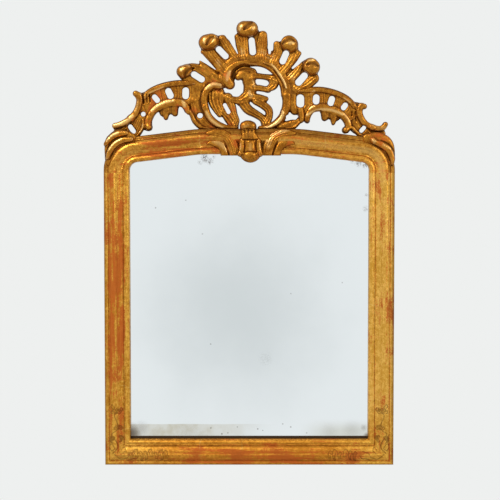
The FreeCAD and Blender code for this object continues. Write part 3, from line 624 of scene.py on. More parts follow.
# Painted shade in each hollow
HOLLOW_SHADE = 0.3
HOLLOW_SPREAD = 1.5
fan_heads = [
    [(-131, 114, 12.5), (-123, 117, 11)],
    [(-84, 171, 16), (-75, 173, 16)],
    [(-10, 198, 15.5), (2, 198, 15.5)],
    [(78, 169, 16.5), (80, 167, 16.5)],
    [(121, 125, 16.5), (123, 123, 16.5)],
]
fan_rows += [(dome, HEAD_FRONT, head) for head in fan_heads]
fan_hollows = [
    [(-127, 103, 2), (-124, 111, 4.5), (-117, 118, 4), (-109, 121, 1.5)],
    [(-84, 166, 2.5), (-81, 172, 5.5), (-76, 178, 5.5), (-71, 181, 3)],
    [(-10, 196, 2.5), (-6, 201, 5.5), (-1, 206, 6), (4, 209, 4)],
    [(64, 168, 2), (71, 175, 5), (80, 178, 5.5), (88, 174, 2.5)],
    [(113, 127, 2), (121, 131, 4.5), (129, 130, 5.5), (135, 125, 2.5)],
]
# Openings: rows of (x, height, half width)
fan_slots = [
    [(-98, 28, 5), (-97, 28, 5)],
    [(77, 25, 4.6), (90, 24.5, 4.6)],
    [(101, 62.5, 7.6), (101, 51.5, 7.6)],
    [(-109, 109, 6.2), (-94, 99.5, 6.2)],
    [(-60, 158.5, 6.2), (-47, 145, 6.2)],
    [(4.6, 176, 6), (6.9, 153, 6.4)],
    [(72.5, 150, 6.2), (66, 135, 6.4)],
    [(109, 106.5, 6.6), (97.5, 93.5, 6.8)],
    [(-97, 144, 6.5), (-81, 131, 3.4), (-67, 119, 0.8)],
    [(-40, 190, 6.5), (-32, 170, 3.6), (-23, 150, 0.8)],
    [(42, 195, 5), (41, 168, 4.2), (40, 151, 2.2)],
    [(106, 144, 5), (96, 131.5, 3.6), (86, 122, 2)],
]

# Sprays, cut a little fuller than they are drawn
SPRAY_FULLNESS = 1.15
left_spray_rows = [
    (fluted(3, 2.2), 21, [(-73, 75, 8.5), (-72, 56, 8.5), (-65, 40, 6.4), (-59, 29, 4)]),
    (fluted(3, 2.2), 20, [(-59, 75, 8.5), (-58, 56, 7), (-53, 39, 5)]),
    (fluted(3, 2.2), 21, [(-42, 64, 8), (-36, 46, 8.5), (-31, 30, 7), (-26, 17, 6), (-30, 6, 5)]),
    (swell, 19, [(-66, 70, 8), (-51, 65, 6.5), (-40, 60.5, 6)]),
    (fluted(3, 2), 20, [(-51, 34, 6), (-41, 24, 9), (-33, 12, 8), (-28, 4, 6)]),
]
left_spray_slots = [[(-48.5, 49, 3.6), (-41, 35, 3.8)]]
right_spray_rows = [
    (fluted(3, 1.5), 23, [(-36, 60, 6), (-25, 58, 6.5), (-15, 59, 8.5), (-2, 69, 10.5),
                          (1, 86, 11), (-2, 101, 11)]),
    (bead, 26, [(-2, 101, 11), (-12, 109, 9), (-22, 104, 6)]),
    (fluted(3, 1.8), 22, [(-22, 113, 6), (-9, 118, 7), (7, 114, 6.5)]),
    (fluted(2, 1.8), 22, [(5, 107, 6.5), (25, 105, 5), (43, 102, 6), (59, 97, 6)]),
    (fluted(3, 2), 24, [(49, 98, 9), (47, 88, 8.5), (38, 80, 5)]),
    (fluted(2, 1.8), 22, [(5, 83, 6), (21, 82, 5.5), (36, 79, 5)]),
    (fluted(2, 1.8), 22, [(3, 65, 7), (19, 63, 6.5), (33, 61, 4.5)]),
    (fluted(3, 2), 22, [(-13, 54, 9), (-2, 40, 8.5), (13, 31, 7), (25, 23, 6.5), (33, 11, 6)]),
    (fluted(3, 2), 24, [(13, 57, 7), (27, 49, 7), (38, 39, 7), (39, 25, 6.5), (32, 10, 7)]),
]

# Wings: a point is (distance out from the fan, height above the rail, half width)
left_wing_rows = [
    (trough, 23, [(-4, 76, 21), (23, 78, 24), (45, 78, 22), (62, 75, 21), (76, 68, 20), (88, 58, 14)]),
    (swell, 25.5, [(91, 78, 4.5), (82, 87, 5.2), (67, 93, 5.4), (47, 97, 5.2), (27, 97, 5.2),
                   (4, 95, 4.6), (-8, 92, 1.5)]),
    (swell, 27.5, [(4, 37, 4.5), (8, 47, 6), (15, 55, 7), (26, 59.5, 8), (43, 60.5, 8), (59, 57, 8),
                   (72.5, 49, 7), (80, 39, 7), (84, 28, 7), (83, 19, 6)]),
    (bead, 29, [(83.5, 18, 6.6), (83, 17, 6.6)]),
    (swell, 21, [(10, 56, 7), (8, 42, 4.5)]),
    (swell, 23, [(56, 50, 7), (55, 42, 6.5)]),
    (swell, 25, [(48.5, 48, 6.4), (49, 36, 6), (49, 32, 4.5)]),
    (swell, 23, [(40, 50, 5.5), (40, 43, 5)]),
    (swell, 25, [(30.5, 50, 6.5), (31, 38.5, 6)]),
    (swell, 28, [(108, 87, 6), (103, 82, 7), (101, 74, 6.2), (103, 62, 6), (108, 50, 6.4),
                 (118, 39.5, 6.4)]),
    (swell, 28, [(118, 39.5, 6.4), (131, 32.5, 6.2), (143, 29, 6), (149, 28.5, 6)]),
    (swell, 20, [(90, 76, 12), (91, 60, 13), (91, 45, 13), (86, 31, 8)]),
    (fluted(7, 1.3), 22, [(99, 43, 10), (105, 31, 13), (112, 18, 15), (119, 6, 14), (125, -2, 9)]),
    (bead, 24, [(94, 33, 2.5), (95, 18, 3), (104, 5, 3), (114, -1, 2.5)]),
    (fluted(4), 22, [(112, 36, 5), (126, 28, 7), (140, 20, 8.5), (150, 11, 7)]),
    (swell, 22, [(92, 38, 7), (88, 28, 9), (86, 20, 8)]),
]
right_wing_rows = [
    (trough, 23, [(-12, 59, 20), (1, 62, 21), (17, 66, 22), (37, 66, 22),
                  (57, 62, 21), (72, 54, 18), (84, 44, 12)]),
    (swell, 25.5, [(91, 60, 4.5), (86, 67, 5), (75, 75, 5.2), (57, 81, 5.2),
                   (37, 84, 5.2), (17, 84, 5.2), (-3, 80, 4.6), (-20, 76, 1.5)]),
    (swell, 27.5, [(-2, 22, 5.5), (1.5, 34, 6.5), (9, 44, 7.2), (22, 49.5, 8), (37, 50, 8), (55, 46, 8),
                   (68, 39, 7), (77.5, 28, 7), (79.5, 18, 6.5), (76, 12, 5.5)]),
    (bead, 29, [(74.5, 11, 6.6), (74, 10.5, 6.6)]),
    (bead, 23, [(-5, 36, 5), (-4, 25, 5), (-1, 19, 3.5)]),
    (swell, 25, [(33, 40, 8), (33, 30, 6.5)]),
    (swell, 23, [(42.5, 42, 5), (42, 34, 5)]),
    (swell, 25.5, [(50.5, 40, 7), (50.5, 27, 6), (50, 21, 3.5)]),
    (swell, 22, [(58.5, 40, 5), (58, 32, 4.5)]),
    (swell, 28, [(111, 62, 5.5), (105, 61, 7), (101.5, 51, 6.4), (105, 39.5, 6), (113, 29, 6),
                 (127, 22.5, 5.4)]),
    (swell, 28, [(127, 22.5, 5.6), (141, 22, 5.4), (149, 26, 5.4), (153, 32, 5)]),
    (swell, 20, [(96, 62, 7), (93, 48, 11), (91, 32, 12), (95, 18, 10)]),
    (fluted(5, 1.3), 21, [(95, 38, 9), (102, 27, 11), (109, 17, 12), (119, 8, 10), (130, 4, 7)]),
    (bead, 26, [(88, 17, 4), (99, 7, 4), (113, 0, 4)]),
    (fluted(3), 21, [(115, 20, 6), (131, 13, 8), (147, 13, 7)]),
]
left_wing_slots = [
    [(9.8, 81, 6.6), (9.8, 71, 6.8)],
    [(44, 84, 6.4), (40, 75, 6.6)],
    [(71.5, 76, 5.2), (66, 69, 5.4)],
    [(94, 45, 4.6), (93.5, 45, 4.6)],
    [(119.5, 23, 4.8), (113.5, 13.5, 5)],
]
right_wing_slots = [
    [(-15, 63, 7.6), (-15, 52, 7.6)],
    [(16.5, 68, 6.6), (16, 61, 6.6)],
    [(47.5, 69, 6.2), (45, 61, 6.2)],
    [(74, 60, 5.4), (70.5, 55, 5.4)],
    [(111, 20, 4.2), (106, 14, 4.2)],
]
# Grooves: (depth, points)
left_wing_grooves = [
    (1.6, [(28, 92, 1.2), (27, 66, 1.4)]),
    (1.6, [(22, 92, 1.2), (22, 66, 1.4)]),
    (1.6, [(59, 88, 1.2), (55, 64, 1.4)]),
    (1.6, [(-2, 90, 1.2), (-2, 64, 1.4)]),
    (1.6, [(94, 62, 1.4), (84, 40, 1.4)]),
    (5, [(94, 83, 1.8), (92.5, 66, 1.8)]),
    (4, [(81, 82, 1.6), (80, 67, 1.6)]),
    (3, [(87, 83, 1.2), (86, 66, 1.2)]),
]
right_wing_grooves = [
    (1.6, [(3, 76, 1.2), (4, 52, 1.4)]),
    (1.6, [(30, 79, 1.2), (30, 56, 1.4)]),
    (1.6, [(35, 79, 1.2), (34, 56, 1.4)]),
    (1.6, [(61, 76, 1.2), (58, 52, 1.4)]),
    (1.6, [(82, 64, 1.2), (79, 48, 1.4)]),
    (2.2, [(97, 58, 1.6), (93, 44, 1.8), (95, 30, 1.6)]),
    (3, [(87, 50, 1.4), (86, 40, 1.4)]),
]

# Carving over the moulding, with grooves as (depth, points)
cartouche_rows = [
    (fluted(4, 2.6), 45, [(-2, -2, 15.5), (-2, -13, 14.5), (-1, -24, 14)]),
    (easy, 46, [(1, -25, 19), (2, -37, 22), (2, -46, 22)]),
    (dome, 49, [(-10, 4, 8.5), (-3, 5.5, 9.5), (5, 4, 8.5)]),
    (swell, 46.8, [(-15.5, -24, 3), (-15, -36, 4.5), (-16.5, -46, 5)]),
    (swell, 46.8, [(18.5, -24, 3), (18.5, -36, 4.5), (20, -46, 5)]),
    (band, 48.5, [(2, -30, 8), (2, -40, 9)]),
    (dome, 47.5, [(-20, -51, 4.6), (-19, -51, 4.6)]),
    (dome, 47.5, [(23, -51, 4.6), (22, -51, 4.6)]),
    (dome, 49.5, [(-3, -54, 8.6), (6, -54, 8.6)]),
]
cartouche_grooves = [
    (3, [(-18, -3, 1.2), (-3, -2, 1.6), (13, -3, 1.2)]),
    (2.6, [(-13, -22.5, 1.4), (2, -23, 1.6), (16, -22.5, 1.4)]),
    (2.6, [(-9, -24, 1.4), (-9, -36, 1.5), (-10, -47, 1.4)]),
    (2.6, [(13, -24, 1.4), (13, -36, 1.5), (14, -47, 1.4)]),
    (2.2, [(-16, -48, 1.2), (2, -46, 1.6), (19, -48, 1.2)]),
]
# The leaves beside it follow arcs about a centre, down to the sight edge: an inner roll and an outer leaf
leaf_roll = [(-8, 9), (20, 9.5), (45, 9.5), (70, 9), (92, 7), (112, 3)]
leaf_outer = [(-8, 11), (20, 11.5), (45, 12), (66, 11), (84, 8), (104, 4)]
# Grooves: (radius, depth, half width, end in degrees)
leaf_grooves = [
    (17, 1.2, 1.4, 96), (34, 3.0, 2.2, 100), (38.5, 1.3, 1.2, 84), (42.5, 1.6, 1.4, 92),
    (46.5, 1.3, 1.2, 80), (50.5, 1.5, 1.3, 70),
]
LEAF_ROLL = 25
LEAF_OUTER = 44
LEAF_DROP = 53
left_leaf_centre = (-72, -53)
right_leaf_centre = (78, -53)


def leaf_arc(centre, side, radius, span):
    points = []
    for angle, width in span:
        turn = math.radians(angle)
        x = centre[0] - side * radius * math.cos(turn)
        points.append((x, centre[1] + radius * math.sin(turn), width))
    return points


def cartouche_leaf(centre, side):
    rows = [
        (swell, 37, leaf_arc(centre, side, LEAF_ROLL, leaf_roll)),
        (swell, 41, leaf_arc(centre, side, LEAF_OUTER, leaf_outer)),
    ]
    grooves = []
    for radius, depth, width, end in leaf_grooves:
        span = [(-6, width), (0.5 * end, width), (0.8 * end, width), (end, 0.5)]
        grooves.append((depth, leaf_arc(centre, side, radius, span)))
    return rows, grooves


# Corner leaves: a point is (angle up from level, distance beyond the corner, half width)
left_corner_rows = [
    (easy, 38, [(12, -8, 4), (28, -4, 9), (46, 4, 14), (62, 6, 15), (80, -2, 10)]),
    (easy, 37, [(50, 10.5, 11), (62, 11.5, 11), (74, 7, 8)]),
    (swell, 43, [(22, -3, 3), (36, -1, 5), (50, 0, 5.5), (64, -1, 5.5), (80, -4, 4)]),
    (swell, 41.5, [(40, 14, 3.5), (50, 15.5, 4.5), (62, 14.5, 5), (74, 10, 4)]),
]
left_corner_grooves = [
    (3, [(20, -9, 0.8), (32, -8.5, 1.6), (44, -7, 1.8), (58, -7.5, 1.8), (80, -10, 0.8)]),
    (2.6, [(30, 4, 0.8), (44, 7.5, 1.8), (58, 8, 1.8), (74, 4, 1)]),
]
right_corner_rows = [
    (easy, 38, [(12, -8, 4), (28, -2, 9), (46, 4, 14), (62, 3, 13.5), (80, -3, 10)]),
    (bead, 43, [(70, -3, 5.5), (66, -4, 6)]),
    (swell, 43, [(66, -6, 4), (52, -3, 6), (38, 0, 6.5), (24, -1, 5), (12, -4, 3)]),
]
right_corner_grooves = [
    (3, [(60, -11, 1), (48, -9, 1.8), (34, -7, 1.8), (18, -8, 1)]),
    (2.4, [(58, 3.5, 0.8), (44, 7.5, 1.6), (30, 7, 1.4), (18, 4, 0.8)]),
]


# Painted shade over the carving, and painted highlights of rubbed gold where the amount is negative:
# (amount, points)
PAINTED_LIGHT_SPREAD = 1.6
painted_light = {
    "crest_fan": [
        (-0.8, [(66, 34, 3), (62, 25, 5), (54, 15, 5.5), (44, 8, 5), (30, 3, 3)]),
        (-0.7, [(-85, 36, 2.6), (-76, 21, 3.2), (-64, 11, 3.2), (-52, 4, 2.6)]),
        (-0.6, [(-84, 81, 3), (-71, 89, 4), (-58, 88, 3)]),
        (-0.8, [(44, 129, 2), (58, 112, 2.6), (68, 96, 2.6), (73, 82, 2)]),
        (-0.6, [(-38, 115, 3), (-42, 107, 4.5), (-44, 97, 3)]),
        (-0.4, [(-62, 134, 6), (-56, 126, 7)]),
        (-0.4, [(-15, 156, 6), (-13, 148, 7)]),
        (-0.35, [(24, 152, 7), (44, 142, 7)]),
        (-0.35, [(82, 106, 6), (90, 98, 6)]),
        (-0.6, [(-134, 116, 3.5), (-131, 121, 3.5)]),
        (-0.6, [(-89, 171, 3), (-87, 178, 3.5)]),
        (-0.6, [(-72, 174, 3.5), (-70, 177, 3.5)]),
        (-0.7, [(-19, 196, 3), (-17, 203, 3.5)]),
        (-0.6, [(6, 197, 3.5), (10, 200, 3)]),
        (-0.6, [(79, 169, 4), (85, 170, 4)]),
        (-0.7, [(118, 135, 3), (126, 137, 2.5)]),
        (0.22, [(-26, 139, 6), (2, 140, 7), (28, 141, 6)]),
        (0.15, [(-110, 80, 9), (-98, 58, 10), (-92, 36, 8)]),
        (0.2, [(80, 92, 7), (86, 72, 8)]),
        (0.25, [(-53, 130, 5), (-52, 118, 6)]),
        (0.2, [(-66, 172, 4), (-56, 176, 5)]),
        (0.4, [(-26, 122, 6), (-29, 112, 6), (-31, 102, 5)]),
    ],
    "left_wing": [
        (-0.7, [(76, 49, 3), (64, 57.5, 3.2), (50, 62.5, 3.2), (34, 63.5, 2.5)]),
        (-0.8, [(114, 44, 3), (125, 36, 4), (139, 31.5, 4), (152, 31, 3.5)]),
        (-0.4, [(104, 74, 3), (105, 63, 3), (109, 52, 3)]),
        (-0.5, [(82, 85, 2), (66, 89, 2.4), (54, 93, 2)]),
        (-0.7, [(14, 60, 4), (12, 51, 4)]),
        (-0.5, [(95, 24, 3), (101, 12, 3)]),
        (0.22, [(57, 44, 8), (42, 44, 9), (28, 45, 8)]),
        (0.15, [(108, 28, 9), (112, 10, 9)]),
        (0.3, [(90, 83.5, 2.2), (72, 95, 2.5), (49, 101, 2.5), (25, 101, 2.2)]),
    ],
    "right_wing": [
        (-0.7, [(-2, 31, 2.5), (8, 38, 3), (24, 45, 3.2), (43, 47, 3.2), (59, 44, 3), (67, 41, 2.5)]),
        (-0.5, [(3, 47, 5), (10, 52, 5)]),
        (-0.4, [(73, 42, 5), (81, 31, 5)]),
        (-0.5, [(71, 73, 2), (83, 67, 2)]),
        (-0.5, [(4, 74, 2.5), (12, 80, 2.5)]),
        (-0.35, [(112, 46, 3), (120, 33, 3.5), (138, 25, 3.5), (152, 26, 3)]),
        (0.2, [(32, 32, 8), (44, 30, 9), (56, 30, 7)]),
        (0.3, [(90, 66, 2.2), (78, 77, 2.5), (60, 85, 2.5), (37, 88, 2.5), (15, 88, 2.2)]),
    ],
    "right_spray": [
        (-0.5, [(0, 74, 5), (4, 66, 5)]),
        (-0.4, [(8, 95, 4), (9, 88, 4)]),
        (0.2, [(-22, 112, 5), (-8, 119, 6), (6, 115, 5)]),
    ],
    "cartouche": [
        (0.26, [(-2, -6, 10), (-1, -19, 10)]),
        (-0.4, [(2, -31, 3.5), (2, -41, 4)]),
        (-0.4, [(-9, 3, 2.5), (-2, 5, 3)]),
        (-0.5, [(-17, -30, 1.5), (-17.5, -42, 1.8)]),
        (-0.4, [(20, -30, 1.5), (20.5, -42, 1.8)]),
    ],
    "left_corner_leaf": [
        (-0.7, [(36, 2.5, 2.5), (49, 4, 3), (63, 3, 2.5)]),
        (-0.6, [(44, 16, 2), (52, 17.5, 2.5), (63, 15.5, 2.5)]),
        (0.3, [(44, 8, 3), (58, 8.5, 3)]),
        (0.25, [(32, -9, 2.5), (46, -8, 3), (60, -8, 3), (78, -10, 2.5)]),
    ],
    "right_corner_leaf": [
        (-0.5, [(69, -3, 3), (66, -4, 3)]),
        (-0.4, [(50, -1, 2.5), (38, 3, 2.5)]),
        (0.25, [(60, -11, 2.5), (48, -9.5, 3), (34, -6.5, 3)]),
    ],
    "left_cartouche_leaf": [(-0.5, [(-69, -25, 6), (-56, -31, 7), (-44, -43, 5)])],
    "right_cartouche_leaf": [
        (-0.4, [(41, -21, 6), (37, -35, 6)]),
        (-0.5, [(35, -25, 3), (47, -13, 4), (66, -6, 4), (84, -2, 3)]),
    ],
}


def on_crest(x, z, w):
    return x, seat + z - CREST_SINK, w


def on_moulding(x, z, w):
    return x, seat + z + MOULDING_LIFT, w


def on_wing(side):
    def place(out, rise, w):
        x = FLANK + out
        return side * x, float(rail_top(x)) + rise - CREST_SINK, w

    return place


def on_corner(side):
    def place(angle, beyond, w):
        radius = corner_outer + beyond
        turn = math.radians(angle)
        return side * (corner_x + radius * math.cos(turn)), corner_z + radius * math.sin(turn), w

    return place


# The crest ends a little below the top of the rail, and the leaves by the shield at the sight edge
SEAM = 0.5


def above_rail(x, z):
    return z - rail_top(x) + SEAM


def above_sight(x, z):
    return z - seat + LEAF_DROP


upright = (16.0, 16.0, 1.0)
level = (1.0, 16.0, 16.0)
even = (2.0, 2.0, 2.0)
gilt_left = gilding("gilding_left", upright, (0.49, 0.203, 0.018), (0.90, 0.50, 0.082), lap_axis=2)
gilt_right = gilding("gilding_right", upright, (0.61, 0.305, 0.039), (0.93, 0.54, 0.12), lap_axis=2)
gilt_top = gilding("gilding_top", level, (0.39, 0.145, 0.013), (0.75, 0.365, 0.055), lap_axis=0)
gilt_bottom = gilding(
    "gilding_bottom", level, (0.43, 0.155, 0.013), (0.76, 0.34, 0.042), lap_axis=0, dullness=0.14
)
gilt_carving = gilding(
    "gilding_carving", even, (0.28, 0.092, 0.008), (0.52, 0.22, 0.024), burnished_gold_and_highlight, 2.0
)


# One carved piece: its strokes, painted shade and highlights, hollows, grooves and openings, cut off where
# it ends
def carve(
    node, place, rows, chamfer, grooves=(), slots=(), keep=None, back=None,
    hollows=(), fullness=1, name=None,
):
    def placed(points, spread=1):
        return [place(a, b, spread * w) for a, b, w in points]

    relief = Relief(*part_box(node))
    for profile, front, points in rows:
        relief.add(profile, front, placed(points, fullness))
    for amount, points in painted_light.get(node, []):
        relief.fade(relief.dirt_and_painted_light, amount, placed(points, PAINTED_LIGHT_SPREAD))
    # Hollows are cut in and given painted shade
    for hollow in hollows:
        wide = placed(hollow, HOLLOW_SPREAD)
        relief.fade(relief.height, -HOLLOW_DEPTH, wide)
        relief.fade(relief.dirt_and_painted_light, HOLLOW_SHADE, wide)
    for depth, points in grooves:
        relief.fade(relief.height, -depth, placed(points))
    for slot in slots:
        relief.pierce(placed(slot))
    if keep:
        relief.inside = np.minimum(relief.inside, keep(relief.x, relief.z))
    if back is None:
        back = -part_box(node)[1].y / MM
    obj = relief.build(name or node + "_carving", back, chamfer)
    dress(obj, node, gilt_carving)


CREST_CHAMFER = 6
LEAF_CHAMFER = 4
carve(
    "crest_fan", on_crest, fan_rows, CREST_CHAMFER, [], fan_slots, above_rail, crest_back, fan_hollows,
    name="fan_carving",
)
for side_name, side, rows, slots, grooves in (
    ("left", -1, left_wing_rows, left_wing_slots, left_wing_grooves),
    ("right", 1, right_wing_rows, right_wing_slots, right_wing_grooves),
):
    carve(side_name + "_wing", on_wing(side), rows, CREST_CHAMFER, grooves, slots, above_rail, wing_back)
for node, rows, slots in (
    ("left_spray", left_spray_rows, left_spray_slots),
    ("right_spray", right_spray_rows, []),
):
    carve(node, on_crest, rows, LEAF_CHAMFER, [], slots, above_rail, fullness=SPRAY_FULLNESS)
carve("cartouche", on_moulding, cartouche_rows, 0, cartouche_grooves)
for side_name, side, centre in (("left", -1, left_leaf_centre), ("right", 1, right_leaf_centre)):
    rows, grooves = cartouche_leaf(centre, side)
    carve(side_name + "_cartouche_leaf", on_moulding, rows, 0, grooves, keep=above_sight)
carve("left_corner_leaf", on_corner(-1), left_corner_rows, LEAF_CHAMFER, left_corner_grooves)
carve("right_corner_leaf", on_corner(1), right_corner_rows, LEAF_CHAMFER, right_corner_grooves)


# Engraved foliage in the lower corners: points are (distance from the middle, height above the lower edge)
ENGRAVED_TOP = 126
ENGRAVED_FROM = 148
ENGRAVED_STEP = 1.0
LINE_HALF = 1.6
CORNER_BLEND = 75
LINE_DEPTH = 0.5
LINE_SHADE = 0.32
BAND_INNER = 13
BAND_OUTER = 42
stem_up = [(271, 24), (262, 42), (273, 60), (261, 78), (268, 96), (264, 110)]
stem_along = [(268, 22), (256, 12), (243, 15), (236, 25), (226, 27)]
curls = [
    [(257, 103), (253, 109), (256, 114), (260, 111), (258, 108)],
    [(271, 112), (275, 116), (272, 121), (268, 117), (270, 114)],
    [(279, 62), (275, 50), (271, 44)],
    [(252, 22), (246, 28), (250, 33), (255, 29)],
    [(240, 10), (232, 14), (226, 12), (222, 18)],
]
corner_loop = [(274, 28), (279, 35), (274, 42), (269, 35), (274, 28)]
# Shells: (distance from the middle, height, radius, direction in degrees)
shells_up = [(265, 104, 10, 90), (262, 72, 8.5, 100), (259, 52, 7, 170), (271, 51, 7, 20)]
# Rows of lobes along the rail: (distance of the first from the middle, count)
right_row = (161, 6)
left_row = (166, 8)
LOBE_PITCH = 10
LOBE_HEIGHT = 24


def around(x, h, wide, high, degrees, turn=0.0):
    points = []
    for step in degrees:
        a = turn + math.radians(step)
        points.append((x + wide * math.cos(a), h + high * math.sin(a)))
    return points


# A shell: five round lobes with ribs between them
def shell_lines(x, h, radius, direction):
    lines = []
    for lobe in range(5):
        middle = math.radians(direction + 36 * (lobe - 2))
        cx = x + 0.72 * radius * math.cos(middle)
        ch = h + 0.72 * radius * math.sin(middle)
        lines.append(around(cx, ch, 0.3 * radius, 0.3 * radius, (-115, -60, 0, 60, 115), middle))
        lines.append([(x, h), ((x + cx) / 2, (h + ch) / 2)])
    return lines


# A row of ribbed lobes along the rail
def lobe_lines(first, count):
    lines = []
    for lobe in range(count):
        x = first + LOBE_PITCH * lobe
        size = 0.85 + 0.3 * math.sin(2.4 * lobe)
        foot = 13 - 4 * math.sin(1.7 * lobe)
        lines.append(around(x, LOBE_HEIGHT, 4.6 * size, 5.5 * size, (-40, 10, 60, 110, 160, 205)))
        for rib in (-4.6, 0.8):
            lines.append([(x + rib, LOBE_HEIGHT), (x + 0.8 * rib, 18), (x + 0.5 * rib + 1, foot)])
    return lines


# All lines of one corner, with the small waver of a hand
def engraved_points(side, row):
    lines = [stem_up, stem_along, corner_loop] + curls
    for shell in shells_up:
        lines += shell_lines(*shell)
    lines += lobe_lines(*row)
    points = np.vstack([curve_through(line) for line in lines])
    points[:, 0] += 0.9 * np.sin(points[:, 1] / 3.1) + 0.8 * np.sin(points[:, 0] / 7.3)
    points[:, 1] += 1.0 * np.sin(points[:, 0] / 4.3)
    return np.stack([side * points[:, 0], frame_bottom + points[:, 1]], axis=1)


left_lines = engraved_points(-1, left_row)
right_lines = engraved_points(1, right_row)


# Distance from each place to the nearest of the points, which are taken some at a time
AT_A_TIME = 200


def nearest(x, z, points):
    best = np.full(len(x), 1e3)
    for first in range(0, len(points), AT_A_TIME):
        some = points[first:first + AT_A_TIME]
        gap = np.hypot(x[:, None] - some[:, 0], z[:, None] - some[:, 1]).min(1)
        best = np.minimum(best, gap)
    return best


# Depths from which the front carries wear, dirt with painted shade and highlights, and engraving
WORN_FROM = 22
FRONT_FROM = 24
BAND_FROM = 25
# Shade of the sides, and the middle of a lower corner, in from the outer edges
SIDE_SHADE = 0.3
CORNER_CENTRE = 25
# Gesso and gold soften the two quirks of the moulding: (distance out, fill)
quirks = [(12.2, 2.4), (41.8, 1.9)]
QUIRK_HALF = 1.6


def quirk_fill(out, depth):
    fills = [fill * np.clip(1.4 - np.abs(out - place) / QUIRK_HALF, 0, 1) for place, fill in quirks]
    return np.where(depth > FRONT_FROM, np.maximum(*fills), 0)


# Frame members: the frame's own shapes, divided so that they can carry wear, dirt, painted shade and
# highlights, and engraving.
# A division is (normal, places, zone); a zone (x0, x1, z0, z1) limits it to the front there.
def member(node, divide, out_of, tones, lines, material):
    bm = bmesh.new()
    bm.from_mesh(nodes[node].data)
    bmesh.ops.remove_doubles(bm, verts=bm.verts, dist=1e-6)
    for normal, places, zone in divide:
        geom = front_part(bm, zone) if zone else bm.verts[:] + bm.edges[:] + bm.faces[:]
        for place in places:
            point = normal * (place * MM)
            cut = bmesh.ops.bisect_plane(bm, geom=geom, dist=1e-7, plane_co=point, plane_no=normal)
            geom = cut["geom"]
    bm.verts.index_update()
    faces = [[vert.index for vert in face.verts] for face in bm.faces]
    co = np.array([vert.co for vert in bm.verts]) / MM
    bm.free()
    out = out_of(co[:, 0], co[:, 2])
    depth = -co[:, 1]
    co[:, 1] -= quirk_fill(out, depth)
    # Bands of dirt with painted shade and highlights on the front, and painted shade on the sides
    dirt_and_painted_light, bole = tones(co[:, 0], co[:, 2], out)
    shade = np.where(depth > FRONT_FROM, dirt_and_painted_light, SIDE_SHADE)
    if len(lines):
        on_band = (depth > BAND_FROM) & (out > BAND_INNER) & (out < BAND_OUTER)
        share = np.clip(nearest(co[:, 0], co[:, 2], lines) / LINE_HALF, 0, 1)
        cut = np.where(on_band, 1 - share * share, 0)
        co[:, 1] += LINE_DEPTH * cut
        shade = np.maximum(shade, LINE_SHADE * cut)
    name = node + "_gilt"
    mesh = bpy.data.meshes.new(name)
    mesh.from_pydata((co * MM).tolist(), [], faces)
    put_attribute(mesh, "painted_light_and_wear", shade)
    put_attribute(mesh, "worn", bole * (depth > WORN_FROM))
    from_x = np.abs(co[:, 0]) - half_outer + CORNER_CENTRE
    from_z = co[:, 2] - frame_bottom - CORNER_CENTRE
    put_attribute(mesh, "corner", np.clip(1.4 - np.hypot(from_x, from_z) / CORNER_BLEND, 0, 1))
    dress(link(name, mesh, MOULDED_SHARP), node, material)


# The faces of a zone that look forward, with their edges and points
FORWARD = -0.3


def front_part(bm, zone):
    x0, x1, z0, z1 = [value * MM for value in zone]
    faces = []
    for face in bm.faces:
        centre = face.calc_center_median()
        if face.normal.y < FORWARD and x0 < centre.x < x1 and z0 < centre.z < z1:
            faces.append(face)
    edges = {edge for face in faces for edge in face.edges}
    verts = {vert for face in faces for vert in face.verts}
    return list(verts) + list(edges) + faces


# Dirt with painted shade, and rubbed gold with painted highlights where the value is negative, lie in
# bands along the moulding: rows of (distance out, dirt and painted light, bare bole)
left_bands = [
    (2, -0.2, 0.1), (8, 0, 0.3), (12.7, 0.06, 0.7), (16, 0, 0.95), (28, 0, 1.0),
    (31, 0, 1.3), (38, 0.02, 1.3), (41, 0, 0.7), (44, 0, 0.5), (46, 0.12, 0.4), (50, 0.27, 0.4),
]
right_bands = [
    (2, 0, 0.1), (11, 0, 0.2), (12.7, 0.06, 0.2), (14.5, -0.3, 0.1), (24, -0.35, 0.1),
    (28, 0, 0.2), (41, 0, 0.3), (44, 0.05, 0.3), (47, 0.27, 0.3),
]
bottom_bands = [
    (2, 0, 0.2), (8, 0, 0.2), (12.7, 0, 0.3), (17, 0, 0.3), (20, 0.08, 0.9),
    (31, 0.13, 1.0), (34, 0.03, 0.9), (43, 0, 0.8), (47, 0.05, 0.6), (50, 0.2, 0.4),
]
top_left_bands = [
    (2, 0, 0.3), (9, 0.03, 0.4), (12.7, 0.08, 0.7), (16, 0.04, 0.6), (19, -0.2, 0.2), (22, -0.2, 0.2),
    (25, 0, 0.7), (28, 0.05, 0.9), (32, 0.1, 0.9), (35, 0.12, 0.7), (37, 0, 0.4), (40, 0.18, 0.2),
    (45, 0.25, 0.1), (50, 0.45, 0),
]
top_right_bands = [
    (2, 0, 0.2), (11, 0, 0.4), (12.7, 0.08, 0.5), (16, 0.12, 0.4), (19, -0.35, 0.1), (22, -0.5, 0),
    (28, -0.45, 0), (31, -0.2, 0.2), (34, 0.1, 0.1), (37, 0.25, 0.1), (41, 0.2, 0.1), (45, 0.25, 0),
    (50, 0.42, 0),
]
# The bottom rail is darker towards its left end, and the gold is cleaner at the ends of the top rail
LEFT_DARKENING = 0.06
CLEAN_FROM = 180
CLEAN_FADE = 35
CLEAN_GOLD = 0.12


def banded(rows, out):
    place, dirt_and_painted_light, bole = np.array(rows).T
    return np.stack([np.interp(out, place, dirt_and_painted_light), np.interp(out, place, bole)])


# More bole shows near the middle of a member
def mid_worn(bole, gap, limit, fade):
    return bole * (0.4 + 0.6 * np.clip(limit - np.abs(gap) / fade, 0, 1))


